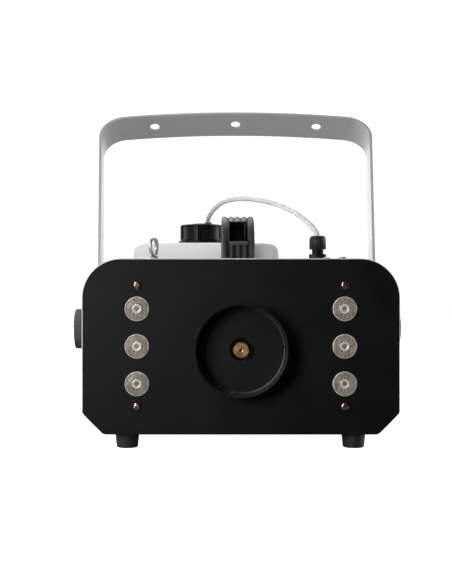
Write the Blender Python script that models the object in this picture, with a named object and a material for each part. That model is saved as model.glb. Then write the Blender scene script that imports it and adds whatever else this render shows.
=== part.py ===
"""A small LED fog machine: a folded metal housing with a tilting U bracket, a drop-in fluid tank, a carry
handle, a nozzle in a guard ring and six round lenses. Lengths are in millimetres in the constants and
metres in the model. X is to the right as seen from the front, d is the depth behind the front panel's face
and z is the height above the floor. The front faces -Y."""
import math

import bmesh
import bpy
from mathutils import Matrix, Vector

MM = 0.001
GAP = 0.3  # clearance between neighbouring pieces

# Housing
COVER_HALF = 135.5  # outside half width of the cover
COVER_T = 1.0
BODY_BOTTOM = 13.0
BODY_TOP = 163.0
CORNER_R = 34.0
CHAMFER = 17.5
LENGTH = 320.0
PANEL_T = 1.5
PANEL_HALF = COVER_HALF - COVER_T - GAP
PANEL_TOP = BODY_TOP - COVER_T - GAP
TRAY_FLANGE_TOP = 45.0

# Front
LENS_X = 88.4
LENS_Z = (56.2, 88.1, 120.0)
LENS_R = 10.35
SCREW_X = 88.5
SCREW_Z = (36.7, 140.0)
NOZZLE_Z = 85.5
RING_R = 39.3
RING_T = 1.2
RING_LIP_D = -23.0

# Bracket
PIVOT_D = 162.0
PIVOT_Z = 96.4
LEAN = math.radians(37.5)
STRAP_RISE = 290.7  # pivot to the strap's underside at its middle
STRIP_W = 35.0
STRIP_T = 3.0
LEG_OUTER = 139.9
STRAP_OUTER = 155.2
BOW_R = 1140.0
SWAY = 0.0065  # how far the bracket leans to its right, per unit of its height
KNOB_R = 20.0
KNOB_OUTER = 161.5
STUD_R = 4.0

# Tank and cap
TANK_X = (-108.2, 45.6)
TANK_D = (215.0, 310.0)
TANK_Z = (69.0, 184.9)
TANK_SEAM = 181.9
CAP_X = -36.5
CAP_D = 262.0
HOSE_X = -29.9
NECK_R = 18.0
NECK_TOP = 203.0
WELL_X = (-109.0, 46.5)
WELL_D = (213.5, 311.5)
WELL_FLOOR = 67.5

# Gland, eye bolt and feet
GLAND_X = 73.2
GLAND_D = 82.0
HOSE_R = 2.5
EYE_X = -77.6
EYE_D = 65.0
FOOT_X = 98.0
FOOT_D = (18.0, 302.0)

# Pump
PUMP_X = 80.0
PUMP_Z = 50.0

# The origin lies midway between the guard ring's lip and the back of the leaning strap.
ORIGIN_D = 165.8


def at(x, d, z):
    return Vector((x * MM, (d - ORIGIN_D) * MM, z * MM))


def material(name, colour, roughness, metallic=0.0, transmission=0.0):
    m = bpy.data.materials.new(name)
    m.use_nodes = True
    p = m.node_tree.nodes["Principled BSDF"]
    p.inputs["Base Color"].default_value = (*colour, 1.0)
    p.inputs["Roughness"].default_value = roughness
    p.inputs["Metallic"].default_value = metallic
    p.inputs["Transmission Weight"].default_value = transmission
    m.diffuse_color = (*colour, 1.0)
    return m


def link(name, data, mat=None, origin=None):
    """An object for the mesh, with its own origin where it turns or slides."""
    if origin is not None:
        data.transform(Matrix.Translation(-origin))
    obj = bpy.data.objects.new(name, data)
    if origin is not None:
        obj.location = origin
    bpy.context.scene.collection.objects.link(obj)
    if mat is not None:
        data.materials.append(mat)
    return obj


def mesh_of(name, bm, smooth=True):
    bmesh.ops.remove_doubles(bm, verts=bm.verts, dist=0.000001)
    bmesh.ops.recalc_face_normals(bm, faces=bm.faces)
    mesh = bpy.data.meshes.new(name)
    bm.to_mesh(mesh)
    bm.free()
    if smooth:
        mesh.shade_smooth()
        mesh.set_sharp_from_angle(angle=math.radians(35))
    return mesh


def change(obj, operation, shapes):
    """Keep one Boolean on the object for each shape; the shapes stay as hidden wire guides."""
    for i, bm in enumerate(shapes):
        guide = link(f"{operation.lower()}_{i}_{obj.name}"[:58], mesh_of("guide", bm, smooth=False))
        guide.hide_render = True
        guide.display_type = "WIRE"
        mod = obj.modifiers.new(f"{operation.lower()} {i}", "BOOLEAN")
        mod.operation = operation
        mod.object = guide
        mod.solver = "EXACT"
    return obj


def piece(name, bm, mat, add=(), cut=(), origin=None):
    obj = link(name, mesh_of(name, bm), mat, origin)
    change(obj, "UNION", add)
    change(obj, "DIFFERENCE", cut)
    return obj


def prism(axis, outline, low, high):
    """Extrude a closed outline along an axis. The outline holds (d, z), (x, z) or (x, d) for X, Y or Z."""
    bm = bmesh.new()
    put = {"X": lambda u, v: at(low, u, v), "Y": lambda u, v: at(u, low, v), "Z": lambda u, v: at(u, v, low)}[axis]
    face = bm.faces.new([bm.verts.new(put(u, v)) for u, v in outline])
    made = bmesh.ops.extrude_face_region(bm, geom=[face])
    step = {"X": Vector((1, 0, 0)), "Y": Vector((0, 1, 0)), "Z": Vector((0, 0, 1))}[axis] * (high - low) * MM
    bmesh.ops.translate(bm, vec=step, verts=[g for g in made["geom"] if isinstance(g, bmesh.types.BMVert)])
    bmesh.ops.recalc_face_normals(bm, faces=bm.faces)
    return bm


def box(x, d, z):
    return prism("Z", [(x[0], d[0]), (x[1], d[0]), (x[1], d[1]), (x[0], d[1])], *z)


def turned(axis, centre, profile, steps=24, closed=False):
    """Spin (radius, along) points about an axis through the centre."""
    bm = bmesh.new()
    c = at(*centre)
    out, along = {
        "X": (Vector((0, 0, 1)), Vector((1, 0, 0))),
        "Y": (Vector((1, 0, 0)), Vector((0, 1, 0))),
        "Z": (Vector((1, 0, 0)), Vector((0, 0, 1))),
    }[axis]
    verts = [bm.verts.new(c + out * r * MM + along * h * MM) for r, h in profile]
    pairs = list(zip(verts, verts[1:])) + ([(verts[-1], verts[0])] if closed else [])
    edges = [bm.edges.new(p) for p in pairs]
    bmesh.ops.spin(bm, geom=verts + edges, cent=c, axis=along, angle=2 * math.pi, steps=steps, use_duplicate=False)
    bmesh.ops.remove_doubles(bm, verts=bm.verts, dist=0.000001)
    bmesh.ops.recalc_face_normals(bm, faces=bm.faces)
    return bm


def rod(axis, centre, radius, low, high, steps=16):
    return turned(axis, centre, [(0, low), (radius, low), (radius, high), (0, high)], steps)


def pipe(axis, centre, inner, outer, low, high, steps=16):
    return turned(axis, centre, [(inner, low), (outer, low), (outer, high), (inner, high)], steps, closed=True)


def arc(cx, cy, r, start, end, steps):
    return [
        (cx + r * math.cos(a), cy + r * math.sin(a))
        for a in (math.radians(start + (end - start) * k / steps) for k in range(steps + 1))
    ]


def stack(levels):
    """A solid through level outlines, given as (z, outline) from the bottom up, each with as many points."""
    bm = bmesh.new()
    rings = [[bm.verts.new(at(x, d, z)) for x, d in outline] for z, outline in levels]
    for low, high in zip(rings, rings[1:]):
        for k in range(len(low)):
            n = (k + 1) % len(low)
            bm.faces.new((low[k], low[n], high[n], high[k]))
    bm.faces.new(rings[0][::-1])
    bm.faces.new(rings[-1])
    bmesh.ops.recalc_face_normals(bm, faces=bm.faces)
    return bm


def rounded_rect(x, y, r, steps=3):
    pts = []
    for cx, cy, a in ((x[1] - r, y[0] + r, -90), (x[1] - r, y[1] - r, 0), (x[0] + r, y[1] - r, 90), (x[0] + r, y[0] + r, 180)):
        pts += arc(cx, cy, r, a, a + 90, steps)
    return pts


def regular(cx, cy, across_flats, sides=6, turn=0.0):
    r = across_flats / 2 / math.cos(math.pi / sides)
    return [
        (cx + r * math.cos(turn + 2 * math.pi * k / sides), cy + r * math.sin(turn + 2 * math.pi * k / sides))
        for k in range(sides)
    ]


def arch(half, foot, top, radius, steps=8):
    """The cover's section from its left edge over the top to its right edge."""
    return (
        [(-half, foot)]
        + arc(-half + radius, top - radius, radius, 180, 90, steps)
        + arc(half - radius, top - radius, radius, 90, 0, steps)
        + [(half, foot)]
    )


def panel_outline():
    r = CORNER_R - COVER_T - GAP
    c = CHAMFER
    return arch(PANEL_HALF, BODY_BOTTOM + c, PANEL_TOP, r) + [(PANEL_HALF - c, BODY_BOTTOM), (-PANEL_HALF + c, BODY_BOTTOM)]


def fillet(points, radius_at, steps=6):
    """Round the named corners of a polyline."""
    out = []
    for i, p in enumerate(points):
        r = radius_at.get(i)
        if not r:
            out.append(tuple(p))
            continue
        p = Vector(p)
        a = (Vector(points[i - 1]) - p).normalized()
        b = (Vector(points[i + 1]) - p).normalized()
        half = math.acos(max(-1.0, min(1.0, a.dot(b)))) / 2
        t = r / math.tan(half)
        centre = p + (a + b).normalized() * (r / math.sin(half))
        start, end = p + a * t, p + b * t
        u, v = start - centre, end - centre
        angle = u.angle_signed(v)
        for k in range(steps + 1):
            q = centre + Matrix.Rotation(-angle * k / steps, 2) @ u
            out.append((q.x, q.y))
    return out


def sheet(points, t):
    """Close a polyline into a strip of even thickness, half to each side."""
    left, right = [], []
    for i, p in enumerate(points):
        p = Vector(p)
        before = (p - Vector(points[i - 1])).normalized() if i else None
        after = (Vector(points[i + 1]) - p).normalized() if i + 1 < len(points) else None
        before, after = before or after, after or before
        mid = (before + after).normalized()
        normal = Vector((-mid.y, mid.x))
        reach = t / 2 / max(0.2, normal.dot(Vector((-before.y, before.x))))
        left.append(tuple(p + normal * reach))
        right.append(tuple(p - normal * reach))
    return left + right[::-1]


def smooth_route(points, count):
    """A Catmull-Rom curve through the points, with evenly shared steps."""
    pts = [Vector(p) for p in points]
    pts = [2 * pts[0] - pts[1]] + pts + [2 * pts[-1] - pts[-2]]
    spans = len(pts) - 3
    out = []
    for k in range(count + 1):
        u = k * spans / count
        i = min(int(u), spans - 1)
        t = u - i
        a, b, c, e = pts[i : i + 4]
        out.append(0.5 * (2 * b + (c - a) * t + (2 * a - 5 * b + 4 * c - e) * t * t + (3 * b - a - 3 * c + e) * t ** 3))
    return out


def tube(name, route, radius, mat, resolution=2):
    curve = bpy.data.curves.new(name, "CURVE")
    curve.dimensions = "3D"
    curve.bevel_depth = radius * MM
    curve.bevel_resolution = resolution
    curve.use_fill_caps = True
    spline = curve.splines.new("POLY")
    spline.points.add(len(route) - 1)
    for point, p in zip(spline.points, route):
        point.co = (*at(*p), 1.0)
    obj = bpy.data.objects.new(name, curve)
    bpy.context.scene.collection.objects.link(obj)
    curve.materials.append(mat)
    return obj


def cross_recess(axis_point, size=4.4, width=1.1, depth=1.3, along="Y"):
    """Two crossed slots that meet in the middle of a screw's head."""
    x, d, z = axis_point
    s, w = size / 2, width / 2
    if along == "Y":
        return [box((x - s, x + s), (d - 1, d + depth), (z - w, z + w)), box((x - w, x + w), (d - 1, d + depth), (z - s, z + s))]
    return [box((x - s, x + s), (d - w, d + w), (z - depth, z + 1)), box((x - w, x + w), (d - s, d + s), (z - depth, z + 1))]


# ---------------------------------------------------------------------------------------------- housing


def build_housing():
    steel_black = material("black_powder_coat", (0.03, 0.03, 0.032), 0.5)
    grey = material("light_grey_paint", (0.62, 0.63, 0.64), 0.38)
    zinc = material("zinc_sheet", (0.6, 0.6, 0.58), 0.4, 1.0)

    # Base tray: floor, 45 degree sides and upright flanges inside the cover
    c = CHAMFER
    outer = [(-PANEL_HALF, TRAY_FLANGE_TOP), (-PANEL_HALF, BODY_BOTTOM + c), (-PANEL_HALF + c, BODY_BOTTOM)]
    outer += [(-x, z) for x, z in outer[::-1]]
    t = 1.5
    k = t * math.tan(math.radians(22.5))
    inner = [(-PANEL_HALF + t, TRAY_FLANGE_TOP), (-PANEL_HALF + t, BODY_BOTTOM + c + k), (-PANEL_HALF + c + k, BODY_BOTTOM + t)]
    inner += [(-x, z) for x, z in inner[::-1]]
    vents = [box((x - 2, x + 2), (215, 290), (5, 20)) for x in range(-70, 71, 20)]
    piece(
        "base_tray",
        prism("Y", outer + inner[::-1], PANEL_T + GAP, LENGTH - PANEL_T - GAP),
        material("tray_black", (0.025, 0.025, 0.026), 0.55),
        cut=vents,
    )

    # Front panel with holes for the lenses, the screws and the nozzle
    holes = [rod("Y", (s * LENS_X, 0, z), 9.1, -2, 4, 14) for s in (-1, 1) for z in LENS_Z]
    holes += [rod("Y", (s * SCREW_X, 0, z), 2.4, -2, 4, 8) for s in (-1, 1) for z in SCREW_Z]
    holes += [rod("Y", (0, 0, NOZZLE_Z), 11.5, -2, 4, 18)]
    piece("front_panel", prism("Y", panel_outline(), 0, PANEL_T), steel_black, cut=holes)

    # Rear panel with cut-outs for the sockets, the switch, the fuse, the display and its keys
    d0 = LENGTH - PANEL_T
    cuts = [
        box((INLET_X - 14.6, INLET_X + 14.6), (d0 - 2, LENGTH + 2), (INLET_Z - 10.6, INLET_Z + 10.6)),
        box((SWITCH_X - 6.9, SWITCH_X + 6.9), (d0 - 2, LENGTH + 2), (SWITCH_Z - 9.9, SWITCH_Z + 9.9)),
        box((PANEL_X - 26.4, PANEL_X + 26.4), (d0 - 2, LENGTH + 2), (DISPLAY_Z - 9.4, DISPLAY_Z + 9.4)),
        rod("Y", (FUSE_X, d0, FUSE_Z), 6.4, -2, 4, 12),
    ]
    cuts += [rod("Y", (x, d0, DMX_Z), 11.9, -2, 4, 16) for x in DMX_X]
    cuts += [rod("Y", (PANEL_X + k, d0, KEY_Z), 3.9, -2, 4, 10) for k in KEY_OFFSETS]
    cuts += [
        box((x - 22, x + 22), (d0 - 2, LENGTH + 2), (z - 1.75, z + 1.75)) for x in (-75, -20) for z in (88, 98, 108)
    ]
    piece("rear_panel", prism("Y", panel_outline(), d0, LENGTH), material("rear_black", (0.03, 0.03, 0.03), 0.5), cut=cuts)

    # Cover: a thin sheet over the top and the sides, with weld bushes for the bracket's studs
    foot = BODY_BOTTOM + CHAMFER + GAP
    out = arch(COVER_HALF, foot, BODY_TOP, CORNER_R)
    ins = arch(COVER_HALF - COVER_T, foot, BODY_TOP - COVER_T, CORNER_R - COVER_T)
    bushes = [rod("X", (0, PIVOT_D, PIVOT_Z), 8.0, s * (COVER_HALF - 0.5) - (6 if s > 0 else 0), s * (COVER_HALF - 0.5) + (0 if s > 0 else 6)) for s in (-1, 1)]
    cuts = [rod("X", (0, PIVOT_D, PIVOT_Z), STUD_R + GAP, s * 125 if s > 0 else -140, 140 if s > 0 else -125) for s in (-1, 1)]
    cuts.append(box(WELL_X, WELL_D, (150, 170)))
    cuts.append(rod("Z", (GLAND_X, GLAND_D, 150), 6.4, 0, 20))
    cuts.append(rod("Z", (EYE_X, EYE_D, 150), 3.0, 0, 20, 8))
    cuts += [rod("Z", (x, d, 150), 2.4, 0, 20, 8) for x, d in TOP_SCREWS]
    for s in (-1, 1):
        x = (125, 145) if s > 0 else (-145, -125)
        cuts += [box(x, (228 + 12 * i, 233 + 12 * i), (80, 120)) for i in range(5)]
        cuts += [box(x, (52 + 12 * i, 57 + 12 * i), (80, 120)) for i in range(4)]
    piece("top_cover", prism("Y", out + ins[::-1], 0, LENGTH), grey, add=bushes, cut=cuts)

    # Well for the tank, hung under the cover's opening
    t = 1.0
    piece(
        "tank_tray",
        box((WELL_X[0] - t, WELL_X[1] + t), (WELL_D[0] - t, WELL_D[1] + t), (WELL_FLOOR - t, 160.3)),
        zinc,
        add=[box((-100, 53.5), (206.5, 317.5), (160.1, 161.6))],
        cut=[box(WELL_X, WELL_D, (WELL_FLOOR, 170)), rod("Z", (-30, 262, 60), 4, 0, 12, 16)],
    )

    rubber = material("foot_rubber", (0.02, 0.02, 0.02), 0.8)
    for i, (sx, d) in enumerate(((-1, FOOT_D[0]), (1, FOOT_D[0]), (-1, FOOT_D[1]), (1, FOOT_D[1]))):
        name = ("foot_front_left", "foot_front_right", "foot_rear_left", "foot_rear_right")[i]
        profile = [(0, 0), (8.6, 0), (9.25, 0.7), (10.2, BODY_BOTTOM - 1.5), (10.45, BODY_BOTTOM - GAP), (0, BODY_BOTTOM - GAP)]
        piece(name, turned("Z", (sx * FOOT_X, d, 0), profile, 20), rubber)


# ------------------------------------------------------------------------------------------------ front


def build_front():
    lens = material("lens_warm_grey", (0.42, 0.40, 0.38), 0.3)
    for side, s in (("left", -1), ("right", 1)):
        for row, z in zip(("low", "middle", "high"), LENS_Z):
            profile = [(0, -0.5), (3.4, -0.9), (4.2, -1.5), (9.4, -1.5), (LENS_R, -1.0), (LENS_R, -GAP), (8.7, -GAP), (8.7, 7), (0, 7)]
            piece(f"lens_{side}_{row}", turned("Y", (s * LENS_X, 0, z), profile, 18), lens)
        screw = material("screw_steel", (0.62, 0.60, 0.57), 0.3, 1.0)
        for row, z in zip(("low", "high"), SCREW_Z):
            profile = [(0, -2.5), (2.4, -2.3), (3.6, -1.4), (3.9, -GAP), (2.0, -GAP), (2.0, 14), (0, 14)]
            at_head = (s * SCREW_X, -2.5, z)
            piece(f"front_screw_{side}_{row}", turned("Y", (s * SCREW_X, 0, z), profile, 12), screw, cut=cross_recess(at_head))
        leds = [rod("Y", (s * LENS_X, 0, z), 4.5, 8.0, 9.4, 10) for z in LENS_Z]
        holes = [rod("Y", (s * SCREW_X, 0, z), 2.4, 8, 12, 8) for z in SCREW_Z]
        x = (LENS_X * s - 13, LENS_X * s + 13)
        piece(f"led_board_{side}", box(x, (9.0, 10.6), (30, 147)), material("led_board_white", (0.8, 0.8, 0.78), 0.5), add=leds, cut=holes)

    # Guard ring with its base plate
    centre = (0, 0, NOZZLE_Z)
    profile = [
        (11.0, -GAP - RING_T), (RING_R - RING_T, -GAP - RING_T), (RING_R - RING_T, RING_LIP_D),
        (RING_R, RING_LIP_D), (RING_R, -GAP), (11.0, -GAP),
    ]
    piece("nozzle_ring", turned("Y", centre, profile, 36, closed=True), material("ring_black", (0.03, 0.03, 0.032), 0.45))

    # Nozzle: a hexagon ahead, a round shank to the heater and a fine orifice
    hexagon = prism("Y", regular(0, NOZZLE_Z, 13.2), -9.2, 4.0)
    tip = turned("Y", centre, [(0, -10), (5.8, -10), (6.5, -9.0), (0, -9.0)], 16)
    shank = rod("Y", centre, 6.0, 3.0, 29.7)
    piece(
        "nozzle", hexagon, material("brass", (0.62, 0.42, 0.18), 0.3, 1.0),
        add=[tip, shank], cut=[rod("Y", centre, 0.6, -12, 0, 12), rod("Y", centre, 2.5, -0.5, 32, 16)],
    )


# --------------------------------------------------------------------------------------------- internal


def build_inside():
    # Cast heater with long fins on its sides, on a folded saddle, with a thermostat on top
    half, low, high = 32.0, 60.0, 112.0
    right = [(half - 6, low), (half, low + 6)]
    for k in range(4):
        z = low + 9 + k * 9.5
        right += [(half, z), (half - 4, z + 1), (half - 4, z + 4.5), (half, z + 5.5)]
    right += [(half, high - 6), (half - 6, high)]
    outline = right + [(-x, z) for x, z in right[::-1]]
    piece(
        "heater_block", prism("Y", outline, 30.0, 170.0), material("cast_aluminium", (0.55, 0.55, 0.55), 0.5, 1.0),
        cut=[rod("Y", (0, 170, 86), 4.0, -12, 3, 16), rod("Y", (0, 30, NOZZLE_Z), 3.0, -3, 12, 16)],
    )
    zinc = material("bracket_zinc", (0.6, 0.6, 0.58), 0.4, 1.0)
    hat = [(-40, 15.55), (-24, 15.55), (-24, 58.95), (24, 58.95), (24, 15.55), (40, 15.55)]
    piece("heater_support", prism("Y", sheet(hat, 1.5), 60, 140), zinc)
    piece(
        "thermostat", rod("Z", (0, 100, 0), 8.0, 112.3, 119, 20), material("thermostat_ceramic", (0.75, 0.72, 0.65), 0.5),
        add=[box((-12, 12), (98, 102), (112.3, 113.3)), box((-3, -1.5), (97, 103), (118, 127)), box((1.5, 3), (97, 103), (118, 127))],
    )

    # Vibrating pump: a wound coil on a bored tube, with a plunger that shuttles in the bore
    axis = (PUMP_X, 0, PUMP_Z)
    piece(
        "pump_body", box((PUMP_X - 18, PUMP_X + 18), (125, 165), (PUMP_Z - 18, PUMP_Z + 18)),
        material("pump_plastic", (0.55, 0.08, 0.05), 0.45), add=[rod("Y", axis, 8.5, 108, 182)],
        cut=[rod("Y", axis, 5.0, 100, 190)],
    )
    piece(
        "pump_plunger", turned("Y", axis, [(0, 130), (3.8, 130), (4.6, 131), (4.6, 157), (3.8, 158), (0, 158)], 20),
        material("plunger_steel", (0.6, 0.6, 0.6), 0.25, 1.0), origin=at(PUMP_X, 144, PUMP_Z),
    )
    hat = [(54, 15.55), (66, 15.55), (66, 30.95), (94, 30.95), (94, 15.55), (106, 15.55)]
    piece("pump_bracket", prism("Y", sheet(hat, 1.5), 130, 160), material("pump_bracket_zinc", (0.6, 0.6, 0.58), 0.4, 1.0))

    # Control board on its stand-offs, with two relays, a capacitor and a terminal strip
    posts = [rod("Z", (x, d, 0), 3.0, 14.8, 26.5, 12) for x in (-112, -62) for d in (40, 180)]
    parts = [
        box((-114, -95), (115, 143), (27, 43)), box((-114, -95), (80, 108), (27, 43)), rod("Z", (-74, 130, 0), 9, 27, 52, 20),
        box((-80, -56), (60, 100), (27, 40)), box((-110, -64), (160, 172), (27, 38)),
    ]
    piece("control_board", box((-117, -56), (34, 186), (26.0, 27.6)), material("board_green", (0.03, 0.2, 0.07), 0.5), add=posts + parts)

    rigid = material("pipe_copper", (0.72, 0.40, 0.26), 0.3, 1.0)
    route = [(PUMP_X, 173, PUMP_Z), (PUMP_X, 188, PUMP_Z), (73, 200, 55), (48, 204, 70), (16, 199, 82), (1, 186, 86), (0, 164, 86)]
    tube("delivery_pipe", smooth_route(route, 24), 2.0, rigid)
    soft = material("hose_inside", (0.8, 0.8, 0.78), 0.4)
    route = [
        (GLAND_X, GLAND_D, 177.6), (GLAND_X, GLAND_D, 150), (GLAND_X, GLAND_D - 2, 112),
        (76, 74, 74), (79, 80, 55), (PUMP_X, 95, PUMP_Z), (PUMP_X, 116, PUMP_Z),
    ]
    tube("inlet_hose", smooth_route(route, 24), HOSE_R, soft)


# ----------------------------------------------------------------------------------------- top fittings


def build_top():
    screw = material("top_screw_steel", (0.62, 0.60, 0.57), 0.3, 1.0)
    for i, (x, d) in enumerate(TOP_SCREWS):
        z = BODY_TOP
        profile = [(0, 2.7), (2.4, 2.5), (3.6, 1.6), (3.9, GAP), (2.0, GAP), (2.0, -10), (0, -10)]
        name = ("cover_screw_left", "cover_screw_right_rear", "cover_screw_right_front")[i]
        piece(name, turned("Z", (x, d, z), profile, 12), screw, cut=cross_recess((x, d, z + 2.7), along="Z"))

    # Eye bolt: a ring turned well away from the front, a nut and a threaded shank
    centre = at(EYE_X, EYE_D, BODY_TOP + 12.15)
    ring = turned("Y", (EYE_X, EYE_D, BODY_TOP + 12.15), [(7.7 + 1.5 * math.cos(a), 1.5 * math.sin(a)) for a in (2 * math.pi * k / 8 for k in range(8))], 20, closed=True)
    bmesh.ops.rotate(ring, cent=centre, matrix=Matrix.Rotation(math.radians(70), 3, "Z"), verts=ring.verts)
    nut = turned("Z", (EYE_X, EYE_D, BODY_TOP), [(0, GAP), (5.15, GAP), (5.15, 1.3), (4.2, 2.8), (0, 2.8)], 14)
    shank = rod("Z", (EYE_X, EYE_D, BODY_TOP), 2.5, -12, 5, 16)
    piece("eye_bolt", nut, material("eye_zinc", (0.62, 0.58, 0.5), 0.35, 1.0), add=[shank, ring])

    # Cable gland for the fluid hose: hexagon, neck and a tail through the cover; then its domed cap nut
    black = material("gland_black", (0.03, 0.03, 0.03), 0.4)
    z0 = BODY_TOP + GAP
    centre = (GLAND_X, GLAND_D, 0)
    piece(
        "gland_body", prism("Z", regular(GLAND_X, GLAND_D, 15.0), z0, z0 + 5.8), black,
        add=[rod("Z", centre, 5.5, z0 + 5, z0 + 15), rod("Z", centre, 6.0, z0 - 12, z0 + 1)], cut=[rod("Z", centre, 3.1, 140, 190, 16)],
    )
    base = BODY_TOP + 10.3
    nut = [(6.0, base), (7.7, base), (7.7, base + 8.8), (7.2, base + 11.0), (6.0, base + 12.3), (4.5, base + 12.6), (3.4, base + 12.6), (3.4, base + 9.0), (6.0, base + 6.0)]
    piece("gland_nut", turned("Z", centre, nut, 18, closed=True), material("gland_nut_black", (0.03, 0.03, 0.03), 0.4))

    # Fluid hose: up out of the cap, over in one arch and straight down into the gland
    heights = [(0.0, 208.7), (0.005, 212.5), (0.03, 217.0), (0.076, 223.0), (0.15, 228.0), (0.26, 230.3), (0.38, 229.2), (0.5, 226.2), (0.62, 221.8), (0.73, 215.8), (0.835, 208.2), (0.92, 199.8), (0.968, 193.0), (0.993, 188.2), (1.0, 183.5), (1.0, 178.0)]
    route = [(HOSE_X + (GLAND_X - HOSE_X) * f, CAP_D + (GLAND_D - CAP_D) * f, z) for f, z in heights]
    tube("fluid_hose", smooth_route(route, 46), HOSE_R, material("hose_translucent", (0.86, 0.86, 0.84), 0.3))

    # Carry handle: an arch with a deep pocket in its front slope
    pocket = [(80, 182.3), (108.4, 182.3), (113.6, 187.9), (126, 194.6), (126, 201), (80, 201)]
    outer = [(88, 0), (88.6, 6), (92.5, 14.5), (99, 24), (107, 32.5), (118, 39.5), (133, 43.6), (150, 44.9), (167, 43.6), (182, 39.5), (193, 32.5), (201, 24), (207, 14.5), (210, 6), (210.5, 0)]
    inner = [(197, 0), (196, 6), (192, 14), (184, 22.5), (172, 29), (150, 32), (128, 29), (116, 22.5), (108, 14), (103, 6), (102, 0)]
    outline = [(d, BODY_TOP + GAP + z) for d, z in outer + inner]
    mid = prism("X", outline, -15.5, 15.5)
    piece(
        "carry_handle", mid, material("handle_black", (0.03, 0.03, 0.03), 0.45),
        cut=[prism("X", pocket, -8.5, 8.5)],
    )


# ------------------------------------------------------------------------------------------------ tank


def build_tank():
    # The vessel and its lid with the filler neck, which are welded together along a seam
    x, d = (TANK_X[0] + TANK_X[1]) / 2, (TANK_D[0] + TANK_D[1]) / 2
    white = material("tank_polythene", (0.72, 0.73, 0.72), 0.4)
    top = TANK_Z[1]

    def shoulder(z, r):
        return r - math.sqrt(r * r - max(0.0, z - (top - r)) ** 2)

    def skin(z):
        side, front = shoulder(z, 12.0), shoulder(z, 4.0)
        return z, rounded_rect((TANK_X[0] + side, TANK_X[1] - side), (TANK_D[0] + front, TANK_D[1] - front), 9.0)

    def inside(z):
        side = 2.0 + shoulder(z + 2.0, 10.0)
        return z, rounded_rect((TANK_X[0] + side, TANK_X[1] - side), (TANK_D[0] + 2, TANK_D[1] - 2), 7.0)

    vessel = stack([skin(z) for z in (TANK_Z[0], top - 12, 175.4, 177.6, 179.4, 180.9, TANK_SEAM - 0.15)])
    hollow = stack([inside(z) for z in (TANK_Z[0] + 2, top - 12, 175.4, 177.6, 179.4, 180.9, TANK_SEAM + 0.6)])
    piece("tank", vessel, white, cut=[hollow], origin=at(x, d, TANK_Z[0]))
    neck = (CAP_X, CAP_D, 0)
    piece(
        "tank_top", stack([skin(z) for z in (TANK_SEAM + 0.15, 183.3, 184.4, top)]), white,
        add=[rod("Z", neck, NECK_R, top - 1, NECK_TOP, 24)],
        cut=[rod("Z", neck, 16.0, TANK_SEAM - 2, NECK_TOP + 2, 24)], origin=at(x, d, TANK_SEAM),
    )
    black = material("cap_black", (0.03, 0.03, 0.03), 0.4)
    ring = [
        (18.8, 185.3), (25.7, 185.3), (25.7, 187.9), (23.4, 188.5), (23.4, 204.6), (22.2, 206.0),
        (14.3, 206.0), (14.3, 204.9), (18.8, 204.9),
    ]
    piece("cap_ring", turned("Z", neck, ring, 28, closed=True), black, origin=at(CAP_X, CAP_D, 185.3))
    insert = [(0, 196), (15.3, 196), (15.3, 203.3), (17.6, 203.3), (17.6, 204.6), (13.9, 204.6), (13.9, 206.0), (11.0, 207.4), (0, 208.2)]
    piece(
        "cap_insert", turned("Z", neck, insert, 24), material("cap_insert_black", (0.03, 0.03, 0.03), 0.4),
        add=[rod("Z", (HOSE_X, CAP_D, 0), 3.0, 80, 197, 8)], origin=at(CAP_X, CAP_D, 196),
    )


# ---------------------------------------------------------------------------------------------- bracket


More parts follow.
